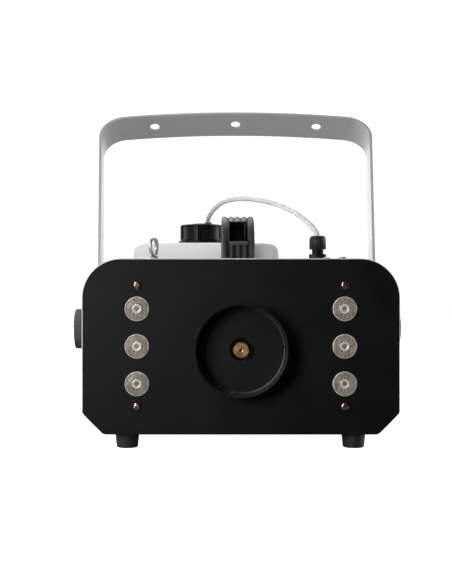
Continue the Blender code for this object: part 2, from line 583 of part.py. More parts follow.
def build_bracket():
    # Drawn upright with its pivot at (0, 0), then leaned back
    mid_t = STRIP_T / 2
    leg = LEG_OUTER - mid_t
    top = STRAP_RISE + mid_t
    corner = STRAP_OUTER - mid_t + 1.4
    strap = [(x, top - x * x / (2 * BOW_R)) for x in (-118, -78, -39, 0, 39, 78, 118)]
    corner_z = top - corner * corner / (2 * BOW_R)
    line = [(-leg, -17.5), (-leg, 24), (-corner, corner_z)] + strap + [(corner, corner_z), (leg, 24), (leg, -17.5)]
    line = [(x + SWAY * max(0.0, z - 24), z) for x, z in fillet(line, {2: 29.0, 10: 29.0})]
    section = [(x, PIVOT_Z + z) for x, z in sheet(line, STRIP_T)]
    body = prism("Y", section, PIVOT_D - STRIP_W / 2, PIVOT_D + STRIP_W / 2)
    ends = []
    for s in (-1, 1):
        x = (130, 150) if s > 0 else (-150, -130)
        outline = [(PIVOT_D - 19, PIVOT_Z), (PIVOT_D - 19, PIVOT_Z - 20), (PIVOT_D + 19, PIVOT_Z - 20), (PIVOT_D + 19, PIVOT_Z)]
        outline += arc(PIVOT_D, PIVOT_Z, 17.5, 0, -180, 12)
        ends.append(prism("X", outline, *x))
    ends += [rod("X", (0, PIVOT_D, PIVOT_Z), STUD_R + 0.6, 130 if s > 0 else -150, 150 if s > 0 else -130, 14) for s in (-1, 1)]
    ends += [rod("Z", (x + SWAY * STRAP_RISE, PIVOT_D, PIVOT_Z), 5.5, 270, 310, 16) for x in (-94, 0, 94)]
    bm_pivot = at(0, PIVOT_D, PIVOT_Z)
    lean = Matrix.Rotation(-LEAN, 3, "X")
    for bm in [body] + ends:
        bmesh.ops.rotate(bm, cent=bm_pivot, matrix=lean, verts=bm.verts)
    piece("bracket", body, material("bracket_grey", (0.62, 0.63, 0.63), 0.35), cut=ends, origin=bm_pivot)

    black = material("knob_black", (0.02, 0.02, 0.02), 0.6)
    washer = material("washer_nylon", (0.05, 0.05, 0.05), 0.5)
    for side, s in (("left", -1), ("right", 1)):
        def span(a, b):
            return (a, b) if s > 0 else (-b, -a)
        axis = (0, PIVOT_D, PIVOT_Z)
        piece(f"pivot_washer_{side}", pipe("X", axis, STUD_R + 0.6, 16.0, *span(135.8, 136.7), 16), washer)
        star = [
            (PIVOT_D + r * math.cos(a), PIVOT_Z + r * math.sin(a))
            for r, a in ((KNOB_R - (0.8 if k % 2 else 0.0), 2 * math.pi * k / 40) for k in range(40))
        ]
        piece(
            f"knob_{side}", prism("X", star, *span(142.5, KNOB_OUTER)), black,
            add=[rod("X", axis, 9.0, *span(140.5, 144), 14), rod("X", axis, STUD_R, *span(118, 142), 12)],
            origin=at(0, PIVOT_D, PIVOT_Z) + Vector(((142.5 * s) * MM, 0, 0)),
        )


# ------------------------------------------------------------------------------------------------- rear

INLET_X, INLET_Z = 92.0, 42.0
SWITCH_X, SWITCH_Z = 52.0, 42.0
PANEL_X, DISPLAY_Z, KEY_Z = 84.0, 130.0, 104.0
KEY_OFFSETS = (-21.0, -7.0, 7.0, 21.0)
FUSE_X, FUSE_Z = 18.0, 42.0
DMX_X, DMX_Z = (-76.0, -32.0), 42.0
TOP_SCREWS = ((-86.0, 82.0), (79.0, 58.0), (91.0, 38.0))


def build_rear():
    face = LENGTH + GAP
    black = material("socket_black", (0.02, 0.02, 0.02), 0.4)

    # Mains inlet with three flat pins
    pins = [box((INLET_X + x - 1, INLET_X + x + 1), (302, 317), (INLET_Z + z - 1.6, INLET_Z + z + 1.6)) for x, z in ((-7, -1.5), (0, 1.5), (7, -1.5))]
    inlet = piece(
        "power_inlet", box((INLET_X - 17, INLET_X + 17), (face, face + 2.5), (INLET_Z - 13, INLET_Z + 13)), black,
        add=[box((INLET_X - 14, INLET_X + 14), (299, face + 1), (INLET_Z - 10, INLET_Z + 10))],
        cut=[box((INLET_X - 12, INLET_X + 12), (303, face + 4), (INLET_Z - 8.2, INLET_Z + 8.2))],
    )
    change(inlet, "UNION", pins)

    # Rocker switch: a framed pocket and the rocker on its cross axis, resting pressed at its low side
    d_pivot = 318.0
    piece(
        "switch_frame", box((SWITCH_X - 8.5, SWITCH_X + 8.5), (face, face + 2.0), (SWITCH_Z - 11.5, SWITCH_Z + 11.5)), material("switch_frame_black", (0.02, 0.02, 0.02), 0.35),
        add=[box((SWITCH_X - 6.5, SWITCH_X + 6.5), (302, face + 1), (SWITCH_Z - 9.5, SWITCH_Z + 9.5))],
        cut=[box((SWITCH_X - 5.3, SWITCH_X + 5.3), (306, face + 4), (SWITCH_Z - 8.3, SWITCH_Z + 8.3))],
    )
    half = [(4.6, 7.3), (4.2, 0.0), (4.6, -7.3)]
    rocker = [(d_pivot + u, SWITCH_Z + v) for u, v in half] + arc(d_pivot, SWITCH_Z, 7.6, -75, -285, 14)
    bm = prism("X", rocker, SWITCH_X - 4.9, SWITCH_X + 4.9)
    bmesh.ops.rotate(bm, cent=at(SWITCH_X, d_pivot, SWITCH_Z), matrix=Matrix.Rotation(math.radians(-7), 3, "X"), verts=bm.verts)
    piece("switch_rocker", bm, material("rocker_red", (0.55, 0.03, 0.02), 0.35), origin=at(SWITCH_X, d_pivot, SWITCH_Z))

    # Fuse holder: the cap turns on its own axis
    axis = (FUSE_X, 0, FUSE_Z)
    piece(
        "fuse_cap", turned("Y", axis, [(0, 296), (5.8, 296), (5.8, face), (8.0, face), (8.0, face + 6.5), (7.0, face + 8.0), (0, face + 8.0)], 16),
        material("fuse_black", (0.02, 0.02, 0.02), 0.4), cut=[box((FUSE_X - 5, FUSE_X + 5), (face + 6.5, face + 10), (FUSE_Z - 0.8, FUSE_Z + 0.8))],
        origin=at(FUSE_X, face, FUSE_Z),
    )

    # Display with its board behind the keys, and four keys
    piece(
        "display_module", box((PANEL_X - 32, PANEL_X + 32), (307, 308.6), (94, 146)), material("display_dark", (0.02, 0.03, 0.06), 0.15),
        add=[box((PANEL_X - 26, PANEL_X + 26), (308, face + 1), (DISPLAY_Z - 9, DISPLAY_Z + 9)), box((PANEL_X - 29, PANEL_X + 29), (face, face + 1.6), (DISPLAY_Z - 12, DISPLAY_Z + 12))],
    )
    for i, k in enumerate(KEY_OFFSETS):
        profile = [(0, 311.0), (4.8, 311.0), (4.8, 313.0), (3.5, 313.0), (3.5, 322.4), (3.0, 323.0), (0, 323.0)]
        piece(
            f"menu_key_{i + 1}", turned("Y", (PANEL_X + k, 0, KEY_Z), profile, 12), material(f"key_black_{i + 1}", (0.04, 0.04, 0.04), 0.4),
            origin=at(PANEL_X + k, 320, KEY_Z),
        )

    # Control sockets: one with pins, one with holes
    shell = [(0, 297), (11.5, 297), (11.5, face + 1), (0, face + 1)]
    plate = [(x, z) for x, z in rounded_rect((-13, 13), (-15.5, 15.5), 3, 3)]
    angles = [math.radians(a) for a in (90, 210, 330)]
    for name, x, male in (("dmx_in", DMX_X[0], True), ("dmx_out", DMX_X[1], False)):
        axis = (x, 0, DMX_Z)
        flat = prism("Y", [(x + u, DMX_Z + v) for u, v in plate], face, face + 2.2)
        if male:
            cut = [rod("Y", axis, 9.6, 306, face + 4, 18)]
            pins = [rod("Y", (x + 4 * math.cos(a), 0, DMX_Z + 4 * math.sin(a)), 1.2, 305, 317, 6) for a in angles]
        else:
            cut = [rod("Y", (x + 4 * math.cos(a), 0, DMX_Z + 4 * math.sin(a)), 1.6, 310, face + 4, 8) for a in angles]
            cut.append(pipe("Y", axis, 7.6, 9.6, 312, face + 4, 18))
            pins = []
        obj = piece(name, flat, material(f"{name}_metal", (0.35, 0.35, 0.36), 0.35, 1.0), add=[turned("Y", axis, shell, 18)], cut=cut)
        change(obj, "UNION", pins)


def main():
    for obj in list(bpy.data.objects):
        bpy.data.objects.remove(obj, do_unlink=True)
    build_housing()
    build_front()
    build_inside()
    build_top()
    build_tank()
    build_bracket()
    build_rear()


main()
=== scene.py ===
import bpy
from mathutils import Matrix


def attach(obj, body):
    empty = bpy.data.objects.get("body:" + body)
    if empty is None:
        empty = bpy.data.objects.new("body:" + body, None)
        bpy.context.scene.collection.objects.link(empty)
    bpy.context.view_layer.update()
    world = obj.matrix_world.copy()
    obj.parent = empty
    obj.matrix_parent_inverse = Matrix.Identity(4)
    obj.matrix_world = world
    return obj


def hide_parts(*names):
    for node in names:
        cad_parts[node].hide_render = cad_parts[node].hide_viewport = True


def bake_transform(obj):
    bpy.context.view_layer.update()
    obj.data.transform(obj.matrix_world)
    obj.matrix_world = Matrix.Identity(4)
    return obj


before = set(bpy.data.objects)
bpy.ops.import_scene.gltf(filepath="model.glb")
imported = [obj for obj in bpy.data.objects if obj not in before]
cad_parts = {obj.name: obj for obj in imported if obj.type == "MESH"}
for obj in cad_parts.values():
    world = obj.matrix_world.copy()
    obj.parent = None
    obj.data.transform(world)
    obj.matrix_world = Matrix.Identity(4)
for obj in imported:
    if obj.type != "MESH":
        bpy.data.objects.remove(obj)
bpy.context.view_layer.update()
import math

import bmesh
import bpy
from mathutils import Matrix, Vector

# ------------------------------------------------------------------------------------------ dimensions
# Lengths are millimetres: x to the right, d behind the front panel's face, z above the floor.
# An outline is a list of points in a plane. A profile is a list of (radius, distance along the axis).
MM = 0.001
ORIGIN_D = 165.8  # how far the frame's origin is behind the panel's face
SIDES = (("left", -1), ("right", 1))

COVER_HALF, COVER_T = 135.5, 1.0
BODY_BOTTOM, BODY_TOP = 13.0, 163.0
CORNER_R, CHAMFER, LENGTH = 34.0, 17.5, 320.0
PANEL_HALF, PANEL_TOP, PANEL_T, PANEL_CORNER_R = 134.7, 162.2, 1.5, CORNER_R - 1.2
TRAY_T, TRAY_TOP, TRAY_BEND_R = 1.5, 45.0, 5.0
SLOT_W, SLOT_PITCH, SLOT_Z = 5.0, 12.0, (80.0, 120.0)
SLOT_GROUPS = ((228, 5), (52, 4))  # where each group starts, and how many slots it has
FOOT_X, FOOT_D = 98.0, (18.0, 302.0)
FOOT_PROFILE = [
    (0, 0), (6.0, 0), (8.3, 0), (8.9, 0.2), (9.25, 0.9), (10.3, 11.2), (10.45, 11.8), (10.45, 12.9),
    (0, 12.9),
]

SCREW_X, SCREW_Z = 88.5, (36.7, 140.0)
SCREW_HOLE_R = 2.4
SCREW_PROFILE = [
    (0, 2.5), (1.4, 2.45), (2.4, 2.25), (3.1, 1.85), (3.6, 1.25), (3.9, 0.5), (3.9, 0.0),
    (2.0, 0.0), (2.0, -12), (0, -12),
]
RECESS_HALF_L, RECESS_HALF_W, RECESS_FROM, RECESS_TO = 2.3, 0.55, 1.0, 3.4
RECESS_TURN = 0.35
TOP_SCREWS = (
    ("cover_screw_left", -86.0, 82.0),
    ("cover_screw_right_rear", 79.0, 58.0),
    ("cover_screw_right_front", 91.0, 38.0),
)

LENS_X, LENS_Z, LENS_R = 88.4, (56.2, 88.1, 120.0), 10.35
LENS_HOLE_R = 9.2
LENS_PROFILE = [
    (0, 7), (8.7, 7), (8.7, -0.05), (LENS_R, -0.05), (LENS_R, -1.15), (LENS_R - 0.3, -1.5), (9.9, -1.6),
    (9.75, -1.3), (4.5, -1.25), (4.2, -1.6), (3.5, -1.9), (2.7, -1.75), (2.0, -1.25), (1.4, -0.95),
    (0.8, -1.05), (0, -1.2),
]
LENS_CORE_R, LENS_COLLAR_R, LENS_RIM_R = 2.2, 4.25, 9.6
BEAD_PITCH, BEADS_FROM, BEADS_TO = 1.3, 4.0, 10.15
BEAD_TOP_D, BEAD_RIM_D, BEAD_FOOT_D = -1.85, -1.66, -1.22

NOZZLE_Z, NOZZLE_FLATS, NOZZLE_HOLE_R = 85.5, 13.2, 10.5
RING_R, RING_T, LIP_D = 39.3, 1.2, -23.0

# The bracket's heights are above its pivot. SWAY is how far it leans aside for each millimetre of height.
PIVOT_D, PIVOT_Z, LEAN = 162.0, 96.4, math.radians(37.5)
STRAP_RISE, STRIP_W, STRIP_T = 290.7, 35.0, 3.0
LEG_OUTER, STRAP_OUTER, BOW_R, SWAY = 139.9, 155.2, 1140.0, 0.0065
KINK_RISE, KINK_R, STRAP_CORNER_R = 24, 60, 29.0
STRAP_HOLES, STRAP_HOLE_R = (-94, 0, 94), 5.5
PIVOT_HOLE_R, STUD_HOLE_R = 4.6, 4.3

TANK_X, TANK_D, TANK_Z = (-108.2, 45.6), (215.0, 310.0), (69.0, 184.9)
TANK_SHOULDER, TANK_EDGE = 12.0, 4.0
WELL_X, WELL_D = (-109.0, 46.5), (213.5, 311.5)
CAP_X, CAP_D = -36.5, 262.0
GRIP_R, GRIP_Z, GRIP_RIBS = 23.4, (188.9, 205.0), 5
HOSE_X, HOSE_R = -29.9, 2.5
GLAND_X, GLAND_D = 73.2, 82.0
EYE_X, EYE_D, EYE_R, EYE_WIRE_R = -77.6, 65.0, 7.35, 1.8

HANDLE_HALF, HANDLE_STEPS, HANDLE_ACROSS, HANDLE_RIBS = 15.5, 72, 61, 5


def at(x, d, z):
    """A place in the frame, in metres."""
    return Vector((x * MM, (d - ORIGIN_D) * MM, z * MM))


# ------------------------------------------------------------------------------------------- mesh tools
# For each axis: the direction a turn starts from, the axis itself, and the direction the turn goes to.
AXES = {
    "X": (Vector((0, 0, 1)), Vector((1, 0, 0)), Vector((0, 1, 0))),
    "Y": (Vector((1, 0, 0)), Vector((0, 1, 0)), Vector((0, 0, 1))),
    "Z": (Vector((1, 0, 0)), Vector((0, 0, 1)), Vector((0, 1, 0))),
}


def prism(axis, outline, low, high):
    """Push an outline along an axis, from low to high."""
    bm = bmesh.new()
    put = {
        "X": lambda u, v: at(low, u, v),
        "Y": lambda u, v: at(u, low, v),
        "Z": lambda u, v: at(u, v, low),
    }[axis]
    face = bm.faces.new([bm.verts.new(put(u, v)) for u, v in outline])
    made = bmesh.ops.extrude_face_region(bm, geom=[face])
    step = AXES[axis][1] * (high - low) * MM
    bmesh.ops.translate(bm, vec=step, verts=[g for g in made["geom"] if isinstance(g, bmesh.types.BMVert)])
    bmesh.ops.recalc_face_normals(bm, faces=bm.faces)
    return bm


def box(x, d, z):
    """A block from three (low, high) pairs."""
    return prism("Z", [(x[0], d[0]), (x[1], d[0]), (x[1], d[1]), (x[0], d[1])], *z)


def turned(axis, centre, profile, steps=64, closed=False, shape=None):
    """Turn a profile about an axis; shape(angle, radius, along) may move each of its points."""
    bm = bmesh.new()
    c = at(*centre)
    out, along, side = AXES[axis]
    rings = []
    for r, h in profile:
        if r == 0:
            rings.append([bm.verts.new(c + along * h * MM)])
            continue
        ring = []
        for k in range(steps):
            a = 2 * math.pi * k / steps
            rr, hh = shape(a, r, h) if shape else (r, h)
            spoke = out * math.cos(a) + side * math.sin(a)
            ring.append(bm.verts.new(c + spoke * rr * MM + along * hh * MM))
        rings.append(ring)
    pairs = list(zip(rings, rings[1:])) + ([(rings[-1], rings[0])] if closed else [])
    for p, q in pairs:
        if len(p) == 1 and len(q) == 1:
            continue
        for k in range(steps):
            n = (k + 1) % steps
            if len(p) == 1:
                bm.faces.new((p[0], q[k], q[n]))
            elif len(q) == 1:
                bm.faces.new((p[k], p[n], q[0]))
            else:
                bm.faces.new((p[k], p[n], q[n], q[k]))
    bmesh.ops.recalc_face_normals(bm, faces=bm.faces)
    return bm


def rod(axis, centre, radius, low, high, steps=48):
    """A plain cylinder from low to high along its axis."""
    return turned(axis, centre, [(0, low), (radius, low), (radius, high), (0, high)], steps)


def arc(cx, cy, r, start, end, steps):
    angles = [math.radians(start + (end - start) * k / steps) for k in range(steps + 1)]
    return [(cx + r * math.cos(a), cy + r * math.sin(a)) for a in angles]


def rounded_rect(x, y, r, steps):
    corners = (
        (x[1] - r, y[0] + r, -90), (x[1] - r, y[1] - r, 0),
        (x[0] + r, y[1] - r, 90), (x[0] + r, y[0] + r, 180),
    )
    return [p for cx, cy, a in corners for p in arc(cx, cy, r, a, a + 90, steps)]


def hexagon(cx, cy, across_flats, turn=0.0):
    r = across_flats / 2 / math.cos(math.pi / 6)
    angles = [turn + math.pi * k / 3 for k in range(6)]
    return [(cx + r * math.cos(a), cy + r * math.sin(a)) for a in angles]


def arch(half, foot, top, radius, steps=24):
    """An open outline up one side, over two rounded corners and down the other side."""
    return (
        [(-half, foot)]
        + arc(-half + radius, top - radius, radius, 180, 90, steps)
        + arc(half - radius, top - radius, radius, 90, 0, steps)
        + [(half, foot)]
    )


def panel_outline():
    """The front panel's outline: rounded corners above, chamfered corners with eased edges below."""
    half, c = PANEL_HALF, CHAMFER
    ease_r, ease = 6, 2.5
    side = arc(half - ease_r, BODY_BOTTOM + c + ease, ease_r, 0, -45, 4)
    low = arc(half - c - ease, BODY_BOTTOM + ease_r, ease_r, -45, -90, 4)
    middle = (half - c * 0.5 + 0.2, BODY_BOTTOM + c * 0.5 + 0.2)
    right = [(half, BODY_BOTTOM + c + ease)] + side[1:-1] + [middle] + low[1:]
    left = [(-x, z) for x, z in right[::-1]]
    return arch(half, BODY_BOTTOM + c + 8, PANEL_TOP, PANEL_CORNER_R) + right + left


def fillet(points, radius_at, steps=14):
    """Round the corners of a line of points; radius_at maps a point's index to its radius."""
    out = []
    for i, p in enumerate(points):
        r = radius_at.get(i)
        if not r:
            out.append(tuple(p))
            continue
        p = Vector(p)
        a = (Vector(points[i - 1]) - p).normalized()
        b = (Vector(points[i + 1]) - p).normalized()
        half = math.acos(max(-1.0, min(1.0, a.dot(b)))) / 2
        t = r / math.tan(half)
        centre = p + (a + b).normalized() * (r / math.sin(half))
        u = p + a * t - centre
        angle = u.angle_signed(p + b * t - centre)
        for k in range(steps + 1):
            q = centre + Matrix.Rotation(-angle * k / steps, 2) @ u
            out.append((q.x, q.y))
    return out


def sheet(points, t):
    """The closed outline of a sheet of thickness t that follows a line of points along its middle."""
    left, right = [], []
    for i, p in enumerate(points):
        p = Vector(p)
        before = (p - Vector(points[i - 1])).normalized() if i else None
        after = (Vector(points[i + 1]) - p).normalized() if i + 1 < len(points) else None
        before, after = before or after, after or before
        mid = (before + after).normalized()
        normal = Vector((-mid.y, mid.x))
        reach = t / 2 / max(0.2, normal.dot(Vector((-before.y, before.x))))
        left.append(tuple(p + normal * reach))
        right.append(tuple(p - normal * reach))
    return left + right[::-1]


def smooth_route(points, count):
    """A smooth curve through all the points, as count + 1 points."""
    pts = [Vector(p) for p in points]
    pts = [2 * pts[0] - pts[1]] + pts + [2 * pts[-1] - pts[-2]]
    spans = len(pts) - 3
    out = []
    for k in range(count + 1):
        u = k * spans / count
        i = min(int(u), spans - 1)
        t = u - i
        a, b, c, e = pts[i : i + 4]
        square, cube = 2 * a - 5 * b + 4 * c - e, 3 * b - a - 3 * c + e
        out.append(0.5 * (2 * b + (c - a) * t + square * t * t + cube * t ** 3))
    return out


def skin(bm, rings):
    """Join rings of equally many vertices, each to the next."""
    for p, q in zip(rings, rings[1:]):
        for k in range(len(p)):
            n = (k + 1) % len(p)
            bm.faces.new((p[k], p[n], q[n], q[k]))


def swept(route, radius, sides=20):
    """A round tube along a route; the route and the radius are in metres."""
    bm = bmesh.new()
    circle = [(math.cos(2 * math.pi * k / sides), math.sin(2 * math.pi * k / sides)) for k in range(sides)]
    normal = Vector((1, 0, 0))
    rings = []
    for i, p in enumerate(route):
        tangent = (route[min(i + 1, len(route) - 1)] - route[max(i - 1, 0)]).normalized()
        normal = (normal - tangent * normal.dot(tangent)).normalized()
        side = tangent.cross(normal)
        rings.append([bm.verts.new(p + (normal * u + side * v) * radius) for u, v in circle])
    skin(bm, rings)
    bm.faces.new(rings[0])
    bm.faces.new(rings[-1][::-1])
    bmesh.ops.recalc_face_normals(bm, faces=bm.faces)
    return bm


def join(*shapes):
    """Put several closed shapes into one mesh without cutting them."""
    bm = shapes[0]
    for other in shapes[1:]:
        mesh = bpy.data.meshes.new("part")
        other.to_mesh(mesh)
        other.free()
        bm.from_mesh(mesh)
        bpy.data.meshes.remove(mesh)
    return bm


def raw(name, bm):
    """An object in the scene with the mesh as it is."""
    mesh = bpy.data.meshes.new(name)
    bm.to_mesh(mesh)
    bm.free()
    obj = bpy.data.objects.new(name, mesh)
    bpy.context.scene.collection.objects.link(obj)
    return obj


def settle(obj):
    """Turn the object's modifiers into its mesh."""
    bpy.context.view_layer.update()
    mesh = bpy.data.meshes.new_from_object(obj.evaluated_get(bpy.context.evaluated_depsgraph_get()))
    obj.modifiers.clear()
    old, obj.data = obj.data, mesh
    bpy.data.meshes.remove(old)


def add_bevel(obj, width, segments, angle):
    mod = obj.modifiers.new("Edge", "BEVEL")
    mod.width = width * MM
    mod.segments = segments
    mod.limit_method = "ANGLE"
    mod.angle_limit = math.radians(angle)
    settle(obj)


def piece(name, bm, mat, body, nodes=(), cut=(), add=(), bevel=0.0, segments=3, angle=32,
          smooth_angle=35):
    obj = raw(name, bm)
    guides = []
    for operation, shapes in (("UNION", add), ("DIFFERENCE", cut)):
        for i, shape in enumerate(shapes):
            guide = raw(f"guide_{name}_{operation}_{i}", shape)
            mod = obj.modifiers.new(operation, "BOOLEAN")
            mod.operation, mod.object, mod.solver = operation, guide, "EXACT"
            guides.append(guide)
    if guides:
        settle(obj)
        for guide in guides:
            bpy.data.objects.remove(guide, do_unlink=True)
    if bevel:
        add_bevel(obj, bevel, segments, angle)
    obj.data.materials.clear()
    obj.data.materials.append(mat)
    obj.data.shade_smooth()
    obj.data.set_sharp_from_angle(angle=math.radians(smooth_angle))
    if bevel or guides:
        mod = obj.modifiers.new("Even", "WEIGHTED_NORMAL")
        mod.keep_sharp = True
        settle(obj)
    if body:
        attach(obj, body)
    if nodes:
        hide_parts(*nodes)
    return obj


def middle_of(face):
    """Where a face's middle is: x, d and z."""
    c = face.center
    return c.x / MM, c.y / MM + ORIGIN_D, c.z / MM


# ------------------------------------------------------------------------------------------- materials
def nodes_of(name):
    """A new material, its node tree and its main shader."""
    m = bpy.data.materials.new(name)
    m.use_nodes = True
    tree = m.node_tree
    return m, tree, tree.nodes["Principled BSDF"]


def finish_of(name, colour, rough, metal=0.0, grain=900.0, depth=0.03, shade=0.12, rough_shade=0.08,
              coat=0.0, blotch=25.0, specular=0.5, subsurface=0.0, scatter=0.004, trans=0.0):
    """Colour with soft blotches, uneven roughness and a grain of bumps, all from noise in object space.

    blotch and grain are the noises' scales, shade and rough_shade are how far the colour and the roughness
    stray, depth is the bumps' height in millimetres and scatter is a distance in metres.
    """
    m, tree, p = nodes_of(name)
    link, new = tree.links.new, tree.nodes.new
    place = new("ShaderNodeTexCoord").outputs["Object"]
    cloud = new("ShaderNodeTexNoise")
    cloud.inputs["Scale"].default_value = blotch
    cloud.inputs["Detail"].default_value = 5.0
    link(place, cloud.inputs["Vector"])
    speck = new("ShaderNodeTexNoise")
    speck.inputs["Scale"].default_value = grain
    speck.inputs["Detail"].default_value = 3.0
    link(place, speck.inputs["Vector"])

    both = new("ShaderNodeMath")
    both.operation = "MULTIPLY_ADD"
    both.inputs[1].default_value = 0.45
    link(speck.outputs["Fac"], both.inputs[0])
    link(cloud.outputs["Fac"], both.inputs[2])
    ramp = new("ShaderNodeValToRGB")
    low, high = ramp.color_ramp.elements
    low.position, high.position = 0.45, 1.0
    low.color = (*(c * (1 - shade) for c in colour), 1)
    high.color = (*(min(1.0, c * (1 + shade)) for c in colour), 1)
    link(both.outputs[0], ramp.inputs["Fac"])
    link(ramp.outputs["Color"], p.inputs["Base Color"])

    uneven = new("ShaderNodeMapRange")
    uneven.inputs["From Min"].default_value = 0.3
    uneven.inputs["From Max"].default_value = 0.7
    uneven.inputs["To Min"].default_value = max(0.02, rough - rough_shade)
    uneven.inputs["To Max"].default_value = min(1.0, rough + rough_shade)
    link(cloud.outputs["Fac"], uneven.inputs["Value"])
    link(uneven.outputs["Result"], p.inputs["Roughness"])

    bump = new("ShaderNodeBump")
    bump.inputs["Strength"].default_value = 1.0
    bump.inputs["Distance"].default_value = depth * MM
    link(speck.outputs["Fac"], bump.inputs["Height"])
    link(bump.outputs["Normal"], p.inputs["Normal"])

    p.inputs["Metallic"].default_value = metal
    p.inputs["Coat Weight"].default_value = coat
    p.inputs["Coat Roughness"].default_value = 0.15
    p.inputs["Specular IOR Level"].default_value = specular
    if subsurface:
        p.inputs["Subsurface Weight"].default_value = subsurface
        p.inputs["Subsurface Radius"].default_value = (scatter, scatter, scatter)
        p.inputs["Subsurface Scale"].default_value = 1.0
    if trans:
        p.inputs["Transmission Weight"].default_value = trans
    return m


POWDER = finish_of(
    "black powder coat", (0.0042, 0.0042, 0.0044), 0.5, grain=1100, depth=0.09, shade=0.3, rough_shade=0.04,
    specular=0.14)
RING_POWDER = finish_of(
    "ring powder coat", (0.0052, 0.0052, 0.0055), 0.5, grain=1100, depth=0.08, shade=0.3, rough_shade=0.04,
    specular=0.16)
# The ring's powder coat made lighter for its lit inside wall: painted light.
RING_WALL_PAINTED_LIGHT = finish_of(
    "ring wall painted light coat", (0.022, 0.022, 0.0225), 0.42, grain=1100, depth=0.08, shade=0.3,
    rough_shade=0.04, specular=0.45)
TRAY_POWDER = finish_of(
    "tray powder coat", (0.006, 0.006, 0.0063), 0.5, grain=1100, depth=0.08, shade=0.25, specular=0.35)
GREY_PAINT = finish_of(
    "light grey paint", (0.64, 0.645, 0.65), 0.36, grain=500, depth=0.015, shade=0.03, coat=0.15)
BRACKET_PAINT = finish_of(
    "bracket paint", (0.54, 0.545, 0.545), 0.38, grain=480, depth=0.02, shade=0.03, coat=0.1)
ZINC = finish_of(
    "zinc plated sheet", (0.55, 0.55, 0.53), 0.38, metal=1.0, grain=260, depth=0.01, rough_shade=0.12,
    blotch=60)
STEEL = finish_of(
    "plated screw", (0.34, 0.285, 0.225), 0.22, metal=1.0, grain=2200, depth=0.006, rough_shade=0.05,
    blotch=300)
EYE_STEEL = finish_of(
    "plated eye", (0.36, 0.352, 0.34), 0.33, metal=1.0, grain=1600, depth=0.004, shade=0.15, rough_shade=0.06,
    blotch=120)
EYE_NUT = finish_of("yellow plated nut", (0.62, 0.55, 0.40), 0.35, metal=1.0, grain=1600, depth=0.01)
RUBBER = finish_of("foot rubber", (0.014, 0.014, 0.014), 0.6, grain=1800, shade=0.3)
TANK_PE = finish_of(
    "tank polythene", (0.80, 0.81, 0.815), 0.42, grain=300, depth=0.004, shade=0.03, blotch=12,
    subsurface=0.8, scatter=0.012)
HOSE_PE = finish_of(
    "clear hose", (0.70, 0.685, 0.655), 0.5, grain=300, depth=0.001, shade=0.03, specular=0.3, trans=0.35)
CAP_PP = finish_of(
    "cap plastic", (0.0035, 0.0035, 0.0038), 0.4, grain=1500, depth=0.012, shade=0.25, specular=0.2)
HANDLE_PP = finish_of(
    "handle plastic", (0.020, 0.020, 0.0205), 0.55, grain=1300, depth=0.012, shade=0.2, specular=0.4)
GLAND_PA = finish_of(
    "gland nylon", (0.0045, 0.0045, 0.005), 0.38, grain=1500, depth=0.012, shade=0.2, specular=0.22)
KNOB_PP = finish_of("knob plastic", (0.040, 0.040, 0.041), 0.45, grain=1500, shade=0.25)
NYLON = finish_of("washer nylon", (0.03, 0.03, 0.03), 0.5, grain=1500, depth=0.02)
SOCKET = finish_of("socket plastic", (0.02, 0.02, 0.021), 0.36, grain=1500, depth=0.015)
NICKEL = finish_of("socket shell", (0.45, 0.45, 0.44), 0.32, metal=1.0, grain=1500, depth=0.01)
HEATER = finish_of("cast aluminium", (0.5, 0.5, 0.5), 0.5, metal=1.0, grain=500, depth=0.08, shade=0.15)
BOARD = finish_of("board green", (0.02, 0.13, 0.05), 0.4, depth=0.02, shade=0.3)
LED_BOARD = finish_of("lamp board", (0.75, 0.75, 0.72), 0.45, depth=0.01)
PUMP_RED = finish_of("pump plastic", (0.45, 0.06, 0.04), 0.42, depth=0.02)
CERAMIC = finish_of("thermostat ceramic", (0.7, 0.67, 0.6), 0.4, depth=0.02)
ROCKER_RED = finish_of("rocker plastic", (0.42, 0.02, 0.015), 0.3, grain=1500, depth=0.01)
KEY_PP = finish_of("key plastic", (0.04, 0.04, 0.042), 0.42, grain=1500, depth=0.02)
# Near-black, put inside hollows where there is only shade: painted shade.
PAINTED_SHADE = finish_of("painted shade hollow", (0.0012, 0.0012, 0.0012), 0.8, depth=0.01, specular=0.08)
LENS = finish_of(
    "lens bead", (0.97, 0.79, 0.64), 0.22, grain=1100, depth=0.01, shade=0.25, rough_shade=0.06, blotch=260,
    coat=0.6, specular=0.8)
# Darker than the beads, for the valleys between them: painted shade.
LENS_GAP_PAINTED_SHADE = finish_of("lens valley painted shade", (0.06, 0.045, 0.035), 0.3, grain=1100, depth=0.01, shade=0.3, coat=0.3)
LENS_RING = finish_of(
    "lens ring", (0.68, 0.595, 0.53), 0.18, grain=1500, depth=0.02, shade=0.25, coat=0.7, specular=0.8)
LENS_CORE = finish_of("lens core", (0.22, 0.19, 0.16), 0.2, grain=1500, shade=0.4, coat=0.4)
DISPLAY = finish_of("display window", (0.008, 0.012, 0.03), 0.08, grain=300, depth=0.002, coat=1.0)


